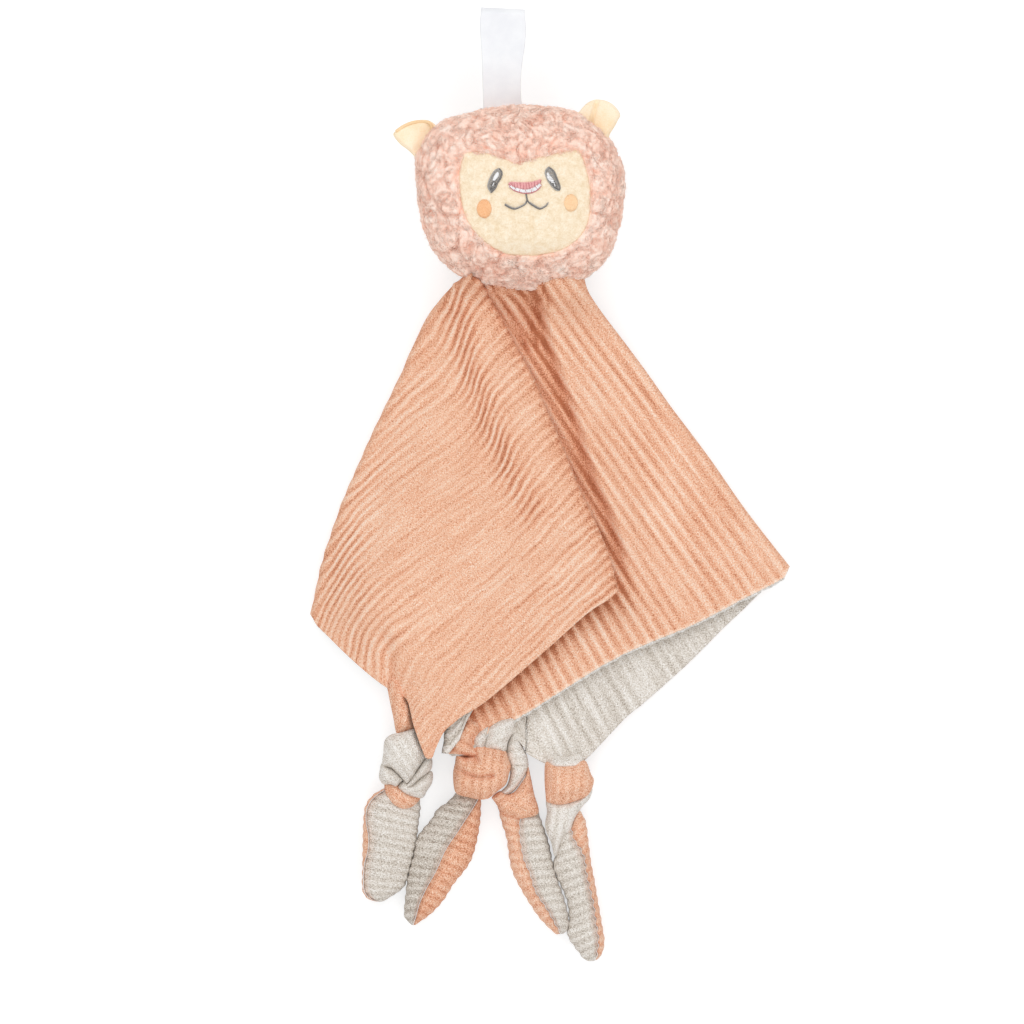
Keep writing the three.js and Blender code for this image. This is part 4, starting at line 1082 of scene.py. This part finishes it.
tail_looks = {"tail_1": dict(grey_left=False), "tail_2": dict(tone=-0.14),
              "tail_3": dict(grey_left=False, seam_wave=0.25), "tail_4": dict(seam_wave=0.4)}
tail_rows = {1: (793, 806), 2: (795, 812), 3: (806, 826), 4: (812, 844)}
for number, (start, end) in tail_rows.items():
    body = f"tail_{number}"
    for piece in tail(body, tail_lines[body], **tail_looks[body]):
        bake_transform(piece)

# Head

HEAD_MID = 22.5
HEAD_HIGH = 46.0
HEAD_SHAPE = 2.5
FLEECE = 2.0
head_line = [(525, 288), (495, 284), (463, 276), (443, 260), (428, 238), (420, 205), (417, 172), (419, 150),
             (437, 126), (470, 114), (510, 107), (548, 108), (579, 115), (606, 137), (618, 157), (624, 178),
             (622, 203), (617, 230), (608, 254), (593, 271), (573, 283), (548, 288)]
face_line = [(465, 153), (483, 152.5), (502, 157.5), (516, 163), (529, 160), (548, 155), (565, 151.5),
             (578, 150.5), (584, 161), (589, 178), (591, 195), (589, 220), (579, 238), (561, 250.5),
             (540, 255), (533, 256.5), (527, 255.5), (514, 255.5), (499, 251), (481, 239), (468, 222),
             (461, 201), (459, 178), (461, 163)]
head_centre = plan([521, 198])
head_rim = head_centre + (plan(rounded(head_line, 220, closed=True)) - head_centre) * 0.972
face_rim = plan(rounded(face_line, 260, closed=True))
CHIN_ROW = 289
PANEL_GAP = 0.15


def head_reach(turn):
    """How far the head's outline lies from its centre at an angle."""
    spokes = head_rim - head_centre
    turns = np.arctan2(spokes[:, 1], spokes[:, 0])
    return np.interp(turn, turns, np.linalg.norm(spokes, axis=1), period=TURN)


def head_turn(p):
    q = p - head_centre
    return np.arctan2(q[..., 1], q[..., 0])


def head_share(p):
    """How far out a plan point lies between the head's centre and its outline."""
    return np.linalg.norm(p - head_centre, axis=-1) / head_reach(head_turn(p))


def bulge(share):
    return (1 - np.clip(share, 0, 1) ** HEAD_SHAPE) ** (1 / HEAD_SHAPE)


def chin_drop(p):
    """The head is lower towards its chin."""
    return 0.6 + 0.4 * above(p, CHIN_ROW, 22.0)


def head_height(p):
    """Height of the head's front at a plan point, with its chin lowered and pressed in at the neck."""
    rise = (HEAD_HIGH - HEAD_MID - FLEECE) * bulge(head_share(p))
    pressed = (p - plan([568, 284])) / np.array([13.0, 3.4])
    return HEAD_MID + rise * (1 - 0.92 * np.exp(-(pressed ** 2).sum(-1))) * chin_drop(p)


def head_points(turn, share, back=False):
    """Points of the head's skin at an angle about its centre and a share of the way out."""
    p = head_centre + np.stack([np.cos(turn), np.sin(turn)], -1) * (head_reach(turn) * share)[..., None]
    z = HEAD_MID - (HEAD_MID - FLEECE - 0.6) * bulge(share) if back else head_height(p)
    return np.concatenate([p, z[..., None]], -1)


def spaced_points(count, back, gap):
    """Points spread over the head's skin, at least a gap apart."""
    turn = rng.random(count * 6) * TURN
    share = np.clip(1 - (1 - np.sqrt(rng.random(count * 6))) ** 1.5, 0, 0.998)
    p = head_points(turn, share, back)
    kept = []
    for q in p:
        if len(kept) < count and all(((q - k) ** 2).sum() > gap * gap for k in kept[-400:]):
            kept.append(q)
    return np.array(kept)


clumps = {False: spaced_points(150, False, 6.6), True: spaced_points(130, True, 7.0)}


def clump_rise(p, back):
    """Rounded tufts of the fleece: highest at each tuft's middle, with creases between them."""
    stretch = np.array([1.15, 0.85, 1.0])
    bent = (p + 3.2 * np.stack([noise3(p, 6.0), noise3(p + 31, 6.0), noise3(p + 57, 6.0)], -1)) * stretch
    centres = clumps[back] * stretch
    flat = bent.reshape(-1, 3)
    best = np.full(len(flat), 1e9)
    second = np.full(len(flat), 1e9)
    for c in centres:
        d = ((flat - c) ** 2).sum(1)
        second = np.minimum(second, np.maximum(best, d))
        best = np.minimum(best, d)
    crease = np.clip((np.sqrt(second) - np.sqrt(best)) / 3.6, 0, 1).reshape(p.shape[:-1])
    wide = np.clip(np.abs(noise3(bent + 12, 5.2)) * 3.4, 0, 1)
    narrow = np.clip(np.abs(noise3(bent + 77, 2.7)) * 3.2, 0, 1)
    return 0.34 * smooth(crease) + 0.40 * smooth(wide) + 0.26 * smooth(narrow)


def face_cover(p):
    """One on the face patch, none on the fleece, with a quick change at the patch's edge."""
    d = edge_distance(face_rim, p)
    return smooth(np.where(inside(face_rim, p), d, -d) / 1.6 + 0.45)


CURL_STEPS, CURL_SIDES = 7, 4


def curls(back):
    """Curled yarn ends over the skin, as thin tubes."""
    number = 2200 if back else 5200
    turn = rng.random(number) * TURN
    share = np.clip(1 - (1 - np.sqrt(rng.random(number))) ** 1.35, 0, 0.999)
    root = head_points(turn, share, back)
    if not back:
        root = root[~inside(face_rim, root[:, :2]) | (edge_distance(face_rim, root[:, :2]) < 0.3)]
    turn, share = head_turn(root[:, :2]), head_share(root[:, :2])
    beside = head_points(turn + 0.01, share, back)
    inward = head_points(turn, np.clip(share - 0.01, 0, 1), back)
    up = unit(np.cross(beside - root, inward - root), 1e-9)
    up *= np.where(up[:, 2:] * (-1 if back else 1) < 0, -1, 1)
    tuft = clump_rise(root, back)
    root = root + up * (FLEECE * (0.15 + 0.85 * tuft) - 0.15)[:, None]
    side = unit(np.cross(up, rng.normal(size=(len(root), 3))))
    over = np.cross(up, side)
    radius = 0.55 + 0.75 * rng.random(len(root))
    sweep = (1.1 + 0.9 * rng.random(len(root))) * math.pi
    steps = np.linspace(0, 1, CURL_STEPS)
    turn = (sweep[:, None] * steps)[..., None]
    rise = 0.30 * np.sin(steps * math.pi)[None] * (0.6 + 0.8 * rng.random(len(root)))[:, None]
    curl = np.cos(turn) * side[:, None] + np.sin(turn) * over[:, None]
    paths = root[:, None] + radius[:, None, None] * curl + rise[..., None] * up[:, None]
    paths[..., 2] = np.clip(paths[..., 2], 0.4, None)
    radii = (0.10 + 0.08 * rng.random(len(root)))[:, None] * np.array([0.45, 0.85, 1, 1, 1, 0.85, 0.45])
    points, faces = tube_mesh(paths, radii, CURL_SIDES)
    # U of the cloth map is the curl's height on its tuft, which sets the fleece's painted crease shade.
    depth = 0.35 + 0.65 * np.clip(tuft + 0.25 * rng.normal(size=len(tuft)), 0, 1)
    uv = np.stack([depth, rng.random(len(tuft))], -1)
    return points, faces, np.repeat(uv, CURL_STEPS * CURL_SIDES, axis=0)


def hairs(number, back):
    """Fine loose hairs, which soften the outline."""
    turn = rng.random(number) * TURN
    share = np.clip(1 - (1 - rng.random(number) ** 0.35) * 0.8, 0, 0.999)
    root = head_points(turn, share, back)
    if not back:
        root = root[~inside(face_rim, root[:, :2])]
    outward = unit(root - np.array([*head_centre, HEAD_MID]))
    lean = unit(outward + 0.55 * rng.normal(size=outward.shape))
    reach = (0.8 + 1.6 * rng.random(len(root)))[:, None, None]
    base = root + outward * (FLEECE * 0.6)
    hair = base[:, None] + lean[:, None] * reach * np.array([0, 0.5, 1.0])[None, :, None]
    hair[..., 2] = np.clip(hair[..., 2] - 0.3 * reach[..., 0] * np.array([0, 0.3, 1.0]), 0.4, None)
    points, faces = tube_mesh(hair, np.array([[0.075, 0.055, 0.02]]), 3)
    return points, faces, np.repeat(np.stack([np.full(len(hair), 0.9), rng.random(len(hair))], -1), 9, axis=0)


def with_last(rings, step):
    """Every few rings, and always the last."""
    few = rings[::step]
    return np.concatenate([few, rings[-1:]]) if (len(rings) - 1) % step else few


def head_panel(name, back):
    """Half of the head's fleece: a tufted skin, its inside, and the curls and hairs on it."""
    rings, columns = 120, 460
    share = np.sin(np.linspace(0.012, 1, rings) * math.pi / 2) ** 0.9
    p = head_points(*np.broadcast_arrays(np.arange(columns) / columns * TURN, share[:, None]), back)
    normal = unit(np.cross(np.gradient(p, axis=0), np.roll(p, -1, axis=1) - np.roll(p, 1, axis=1)), 1e-9)
    normal *= -1 if back else 1
    rise = clump_rise(p, back)
    fine = 0.30 * noise3(p, 1.5) + 0.18 * noise3(p + 9, 0.8)
    bare = 0 if back else face_cover(p[..., :2])
    lift = (FLEECE * (0.15 + 0.85 * rise) + fine) * (1 - bare) - 0.8 * bare
    out = p + normal * lift[..., None]
    hollow = p - normal * 1.5
    low, high = (0.3, HEAD_MID - PANEL_GAP) if back else (HEAD_MID + PANEL_GAP, None)
    out[..., 2] = np.clip(out[..., 2], low, high)
    low, high = (1.5, HEAD_MID - 2 * PANEL_GAP) if back else (HEAD_MID + 2 * PANEL_GAP, None)
    hollow[..., 2] = np.clip(hollow[..., 2], low, high)
    hollow[..., :2] = head_centre + (hollow[..., :2] - head_centre) * 0.97
    inner = with_last(hollow, 5)
    points = np.concatenate([out.reshape(-1, 3), inner.reshape(-1, 3), [out[0].mean(0), inner[0].mean(0)]])
    # U of the skin's cloth map is its tuft height, which sets the painted crease shade; the inside gets the
    # full shade.
    uv = np.zeros((len(points), 2))
    uv[:rise.size, 0] = rise.ravel()
    curled = curls(back)
    curl_count = len(curled[0]) // (CURL_STEPS * CURL_SIDES)
    return join_parts(name, [(points, shell_faces(rings, len(inner), columns, back), uv), curled,
                             hairs(curl_count * 2, back)], fleece)


head_front = head_panel("head_front_fleece", False)
head_back = head_panel("head_back_fleece", True)
rim = resample(np.concatenate([head_rim, head_rim[:1]]), np.arange(64) / 64)
filling_rings = []
for level in np.linspace(-1, 1, 24):
    ring = head_centre + (rim - head_centre) * max(bulge(abs(level)) * 0.9, 0.02)
    top = (HEAD_HIGH - HEAD_MID) * 0.74 * chin_drop(ring) if level > 0 else np.full(64, HEAD_MID - 3.4)
    filling_rings.append(np.column_stack([ring, HEAD_MID + level * top]))
filling_rings = np.stack(filling_rings)
filling = join_parts("head_filling_fibre", [loft_mesh(filling_rings, filling_rings[..., :2])], fibre)

for piece, node, slot in ((head_front, "head_front_panel", "fleece"),
                          (head_back, "head_back_panel", "fleece"), (filling, "head_filling", "fibre_fill")):
    stand_for(node)
    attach(piece, "head")

# Face

face_creases = [([(531, 212), (532, 232), (534, 257)], 0.55, 0.9),
                ([(487, 212), (495, 222), (506, 230)], 0.3, 1.2),
                ([(499, 225), (507, 240), (512, 250)], 0.22, 1.0),
                ([(483, 222), (492, 236), (501, 245)], 0.25, 1.2),
                ([(548, 222), (556, 236), (560, 247)], 0.15, 1.4), ([(500, 198), (506, 206)], 0.15, 1.2)]


def face_height(p):
    """Top of the face patch."""
    z = head_height(p) + 0.7
    for crease, depth, width in face_creases:
        z = z - dent(p, crease, depth, width)
    return z + 0.18 * noise2(p, 7.0) + 0.03 * noise2(p + 5, 0.9, 5.0)


def face_patch():
    """The velour patch, thin and rounded at its edge."""
    columns, rings = 300, 70
    rim = resample(np.concatenate([face_rim, face_rim[:1]]), np.arange(columns) / columns)
    middle = plan([525, 205])
    share = np.linspace(1 / rings, 1, rings) ** 0.9
    p = middle + (rim[None] - middle) * share[:, None, None]
    z = face_height(p) - 0.55 * (1 - dome(edge_distance(rim, p) / 0.8))
    z[-1] -= 0.25
    top = np.concatenate([p, z[..., None]], -1)
    inner = with_last(top - np.array([0, 0, 0.9]), 6)
    points = np.concatenate([top.reshape(-1, 3), inner.reshape(-1, 3), [top[0].mean(0)], [inner[0].mean(0)]])
    return make_mesh("face_patch_velour", points, shell_faces(rings, len(inner), columns), cream_velour,
                     points[:, :2])


patch = face_patch()


def on_face(points_px, lift):
    p = plan(points_px)
    return np.concatenate([p, (face_height(p) + lift)[..., None]], -1)


def thread(points_px, width, lift, steps=40):
    """A thread laid on the face along traced points."""
    path = on_face(resample(rounded(points_px, 40), np.linspace(0, 1, steps)), lift)
    radius = np.full(len(path), width / 2)
    radius[[0, -1]] *= 0.5
    return tube_mesh(path[None], radius[None], 6)


def stitched(name, node, body, groups):
    """One mesh of many threads, each group with its own material, that stands for a node."""
    points, faces, marks, base = [], [], [], 0
    for number, (_, parts) in enumerate(groups):
        for p, f in parts:
            points.append(p)
            faces += [g + base for g in f]
            marks += [np.full(len(g), number, np.int32) for g in f]
            base += len(p)
    points = np.concatenate(points)
    piece = make_mesh(name, points, faces, groups[0][0], points[:, :2])
    for material, _ in groups[1:]:
        piece.data.materials.append(material)
    piece.data.polygons.foreach_set("material_index", np.concatenate(marks))
    stand_for(node)
    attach(piece, body)


def fill_between(upper, lower, count, width, lift, jitter, slant=0.0):
    """Satin stitches from one traced line to another."""
    a = resample(rounded(upper, 60), np.linspace(0, 1, count))
    b = resample(rounded(lower, 60), np.clip(np.linspace(0, 1, count) + slant, 0, 1))
    a = a + rng.normal(size=a.shape) * jitter
    b = b + rng.normal(size=b.shape) * jitter
    parts = []
    for start, finish in zip(a, b):
        path = on_face(start + (finish - start) * np.linspace(0, 1, 7)[:, None], lift)
        path[:, 2] += 0.12 * np.sin(np.linspace(0, math.pi, 7))
        parts.append(tube_mesh(path[None], width / 2 * np.array([[0.6, 1, 1, 1, 1, 1, 0.6]]), 5))
    return parts


eyes = {
    "left": dict(right=[(499, 168.5), (501.8, 172.5), (500.7, 178), (497.5, 183), (495.3, 188), (491, 192.6)],
                 left=[(499, 168.5), (495.3, 170.4), (492, 174.7), (489, 181), (488, 187), (491, 192.6)],
                 white=[[(498.6, 172.5), (499, 175), (496, 179.6)],
                        [(496, 173.5), (493.6, 177), (492.6, 180.5)]],
                 dark=[[(497, 180), (495, 186.5), (492, 191)], [(492.5, 181), (490, 186), (490.4, 190)]]),
    "right": dict(right=[(548.6, 167), (553.8, 171.4), (557, 179), (559.8, 186.6), (559, 190.6)],
                  left=[(548.6, 167), (545.4, 171.4), (546.8, 178), (550.6, 184.5), (555, 189.3),
                        (559, 190.6)],
                  white=[[(548, 172.5), (552, 177.5), (555, 182.5)],
                         [(546.8, 174), (547.6, 179), (551, 182)]],
                  dark=[[(555, 181), (557.5, 186), (558.4, 189.4)], [(550, 182), (553, 187), (557, 189.6)]])}
for side, eye in eyes.items():
    rims = [thread(eye["right"], 0.70, 0.35), thread(eye["left"], 0.55, 0.35)]
    base = fill_between(eye["left"], eye["right"], 22, 0.5, 0.12, 0.15)
    white = fill_between(*eye["white"], 9, 0.55, 0.34, 0.15)
    dark = fill_between(*eye["dark"], 10, 0.42, 0.30, 0.35)
    (top, below), low = np.array(eye["dark"][0][:2]), np.array(eye["dark"][1][1])
    spark = thread([top * 0.6 + low * 0.4, below * 0.5 + low * 0.5], 0.4, 0.5, 6)
    stitched(f"{side}_eye_stitches", f"{side}_eye", "head",
             [(grey_thread, base), (dark_thread, rims[:1] + dark), (grey_thread, rims[1:]),
              (white_thread, white + [spark])])

nose_top = [(508.3, 183.9), (511, 182.4), (518, 182.8), (525, 182.9), (532, 182.3), (537.6, 180.8),
            (540.6, 179.6)]
nose_mid = [(510, 184.6), (515.9, 187.4), (524.6, 189.3), (532.2, 187.7), (539.7, 183.2)]
nose_low = [(509.4, 187.2), (515.9, 191.2), (525.7, 193.3), (535.4, 191.3), (541.4, 186)]
stitched("nose_stitches", "nose", "head", [
    (pink_thread, fill_between(nose_top, nose_mid, 60, 0.46, 0.3, 0.3) + [thread(nose_top, 0.55, 0.4)]),
    (white_thread, fill_between(nose_mid, nose_low, 40, 0.5, 0.2, 0.25)),
    (deep_pink, [thread(nose_low, 0.38, 0.38)] + fill_between(nose_mid, nose_low, 7, 0.22, 0.42, 0.5)
     + fill_between(nose_top, nose_mid, 12, 0.25, 0.5, 0.4))])
mouth_lines = [[(526, 193.5), (526.6, 197), (527.4, 201.5)],
               [(527, 200.5), (525.5, 203.6), (522.4, 205.8), (515, 208.9), (509.4, 207.4), (504.6, 204.6)],
               [(527.6, 200.5), (529.4, 203), (532.2, 205), (537.6, 208.2), (541, 208.6), (545.7, 206),
                (548, 203)]]
stitched("mouth_stitches", "mouth", "head", [
    (dark_thread, [thread(line, 0.66, 0.25) for line in mouth_lines]),
    (grey_thread, [thread([(x + 0.5, y - 0.9) for x, y in line[1:]], 0.4, 0.5) for line in mouth_lines[1:]])])
# The left cheek gets the shaded copy of the thread and the right cheek the lit copy.
for side, (cx, cy, rx, ry), material, slot in (
        ("left", (484.2, 208.8, 6.9, 9.4), deep_cheek, "deep_cheek"),
        ("right", (571, 202.9, 6.5, 8.8), pale_cheek, "pale_cheek")):
    turn = np.linspace(0.06, 0.94, 26) * math.pi
    upper, lower = ([(cx - rx * math.cos(a), cy + way * ry * math.sin(a)) for a in turn] for way in (-1, 1))
    stitched(f"{side}_cheek_stitches", f"{side}_cheek", "head",
             [(material, fill_between(upper, lower, 46, 0.5, 0.12, 0.12))])
stand_for("face_patch")
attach(patch, "head")

# Ears


def ear_layer(name, outline, centre, low, high, creases, cup):
    """One velour layer of an ear, cupped towards its edge."""
    points, faces, _ = lump_mesh(outline, low, high, 1.8, centre, creases=creases, puff=0.35, rings=22,
                                 columns=110)
    q = points[:, :2] - plan(centre)
    points[:, 2] += cup * (q ** 2).sum(1) / 60.0
    return make_mesh(name, points, faces, ear_velour, points[:, :2])


left_ear = [(393.3, 135), (396, 130.5), (401, 126.5), (412, 121), (424, 119.8), (431, 121.5), (437, 127),
            (441, 138), (432, 150), (420, 163), (414, 156), (408, 150), (400, 144)]
right_ear = [(574, 120), (579, 112), (586, 104), (592, 100.5), (597, 99.4), (606, 100.7), (613, 104.5),
             (618, 110), (620.3, 115.5), (618, 120), (615, 126), (610, 134), (606, 144), (594, 138),
             (580, 130)]
left_hem = [(396, 131.5), (404, 126), (413, 122.6), (424, 121.6), (430.5, 124), (432, 130)]
right_fold = [(597, 101), (595, 108), (592, 118), (590, 126)]
left_middle, right_middle = (418, 137), (597, 119)
left_crease = [(430, 128), (424, 140), (418, 152)]
right_crease = [(588, 106), (584, 116)]
left_front = ear_layer("left_ear_front_velour", left_ear, left_middle, 21.2, 25.4,
                       [(left_crease, 0.9, 2.2)], 0.35)
left_back = ear_layer("left_ear_back_velour", left_ear, left_middle, 19.4, 22.0, [], 0.3)
right_front = ear_layer("right_ear_front_velour", right_ear, right_middle, 21.2, 25.8,
                        [(right_fold, 1.7, 0.9), (right_crease, 0.5, 1.6)], 0.35)
right_back = ear_layer("right_ear_back_velour", right_ear, right_middle, 19.4, 22.0, [], 0.3)

# The left ear's rolled, stitched edge, joined to its front layer
hem_line = plan(resample(rounded(left_hem, 60), np.linspace(0, 1, 60)))
points, faces = tube_mesh(np.column_stack([hem_line, np.full(60, 25.4)])[None], np.full((1, 60), 0.7), 8)
hem = make_mesh("left_ear_hem", points, faces, ear_edge, points[:, :2])
bpy.ops.object.select_all(action="DESELECT")
hem.select_set(True)
left_front.select_set(True)
bpy.context.view_layer.objects.active = left_front
bpy.ops.object.join()

EAR_LEVEL = 21.9
ear_roots = {"left_ear": ((-54.39, 143.97), (-0.82, 0.572)), "right_ear": ((20.16, 150.48), (0.625, 0.781))}
for piece, word, body in ((left_front, "front", "left_ear"), (left_back, "back", "left_ear"),
                          (right_front, "front", "right_ear"), (right_back, "back", "right_ear")):
    root, out = (np.array(v) for v in ear_roots[body])
    start, end = ((*((root + out * reach) * MM), EAR_LEVEL * MM) for reach in (-1.0, 7.0))
    stand_for(f"{body}_{word}")
    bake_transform(piece)

# Hanging loop

tape_left = [(484, 118), (483, 96), (482, 60), (480.5, 35), (480, 22), (481, 13)]
tape_right = [(525, 118), (521, 96), (521.5, 70), (525, 45), (526, 30), (525, 15)]
BEND_FROM, BEND_TO = 0.46, 0.54
steps, width = 200, 40
run, u = np.linspace(0, 1, steps), np.linspace(0, 1, width)
rising, falling = run < BEND_FROM, run > BEND_TO
height_share = np.where(rising, run / BEND_FROM, np.where(falling, (1 - run) / BEND_FROM, 1.0))
arc = np.clip((run - BEND_FROM) / (BEND_TO - BEND_FROM), 0, 1) * math.pi
away = smooth(height_share * 1.6)
z = np.where(rising, 22.8 + 4.6 * away, np.where(falling, 21.6 - 4.2 * away, 22.4 + 5.0 * np.cos(arc)))
a, b = (plan(resample(rounded(line, 60), height_share))[:, None] for line in (tape_left, tape_right))
p = a * (1 - u[None, :, None]) + b * u[None, :, None]
p[..., 1] += np.where(rising | falling, 0.0, 2.0 * np.sin(arc))[:, None]
z = z[:, None] + 0.35 * np.sin(u * math.pi)[None] + 0.25 * noise2(p, 12)
middle = np.concatenate([p, z[..., None]], -1)
normal = unit(np.cross(np.gradient(middle, axis=1), np.gradient(middle, axis=0)), 1e-9)
normal[..., 2] = np.where(rising[:, None], np.abs(normal[..., 2]), normal[..., 2])
TAPE_HALF = 0.4
ring = np.concatenate([middle + normal * TAPE_HALF, (middle - normal * TAPE_HALF)[:, ::-1]], 1)
around = np.concatenate([u, u[::-1]]) * 19
tape_uv = np.stack(np.broadcast_arrays(around[None], (run * 90)[:, None]), -1)
loop = join_parts("hanging_loop_tape", [loft_mesh(ring, tape_uv)], white_tape)
stand_for("hanging_loop")
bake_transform(loop)

# Neck

turn = np.linspace(0, TURN, 120)
neck_x, neck_y = plan([524, 298])
rows = []
for row in (0.0, 1.4, 2.8):
    ring = np.stack([neck_x + 22.0 * np.cos(turn), neck_y + row + 0.35 * np.sin(turn * 22),
                     9.6 + 8.2 * np.sin(turn)], -1)
    rows.append(tube_mesh(ring[None], np.full((1, len(turn)), 0.65), 6, up=(0, 1, 0)))
stitched("neck_stitching_thread", "neck_stitching", "neck", [(coral_thread, rows)])

# Stage

n = Nodes("floor", 0.95)
light_path = n.add("LightPath")
seen = n.math("MAXIMUM", light_path.outputs["Is Camera Ray"], light_path.outputs["Is Glossy Ray"])
seen = n.math("MAXIMUM", seen, light_path.outputs["Is Transmission Ray"])
n.put(n.shader.inputs["Base Color"], n.mix(seen, (0.80, 0.80, 0.80), (0.46, 0.46, 0.46)))
n.put(n.shader.inputs["Emission Color"], (1, 1, 1))
n.put(n.shader.inputs["Emission Strength"], n.times(seen, 0.65))
FLOOR_HALF = 2000
corner_signs = ((-1, -1), (1, -1), (1, 1), (-1, 1))
floor = make_mesh("floor", [(x * FLOOR_HALF, y * FLOOR_HALF, 0) for x, y in corner_signs],
                  [np.array([[0, 1, 2, 3]])], n.material)
floor.location.z = -0.0004

scene = bpy.context.scene
camera_data = bpy.data.cameras.new("camera")
camera_data.type = "ORTHO"
camera_data.ortho_scale = 1024 * PIXEL * MM
camera = bpy.data.objects.new("camera", camera_data)
camera.location = (*(plan([512, 512]) * MM), 1.5)
scene.collection.objects.link(camera)
scene.camera = camera

for name, location, size, power in (("key_right", (0.75, 0.85, 1.10), 1.0, 6.0),
                                    ("key_left", (-0.75, 0.85, 1.10), 1.0, 5.4),
                                    ("fill", (0.0, -1.1, 1.10), 1.4, 7.2)):
    data = bpy.data.lights.new(name, "AREA")
    data.size = size
    data.energy = power
    light = bpy.data.objects.new(name, data)
    light.location = location
    light.rotation_euler = (-Vector(location)).to_track_quat("-Z", "Y").to_euler()
    scene.collection.objects.link(light)
world = bpy.data.worlds.new("studio")
world.use_nodes = True
background = world.node_tree.nodes["Background"]
background.inputs["Color"].default_value = (1, 1, 1, 1)
background.inputs["Strength"].default_value = 0.62
scene.world = world
scene.view_settings.view_transform = "Standard"
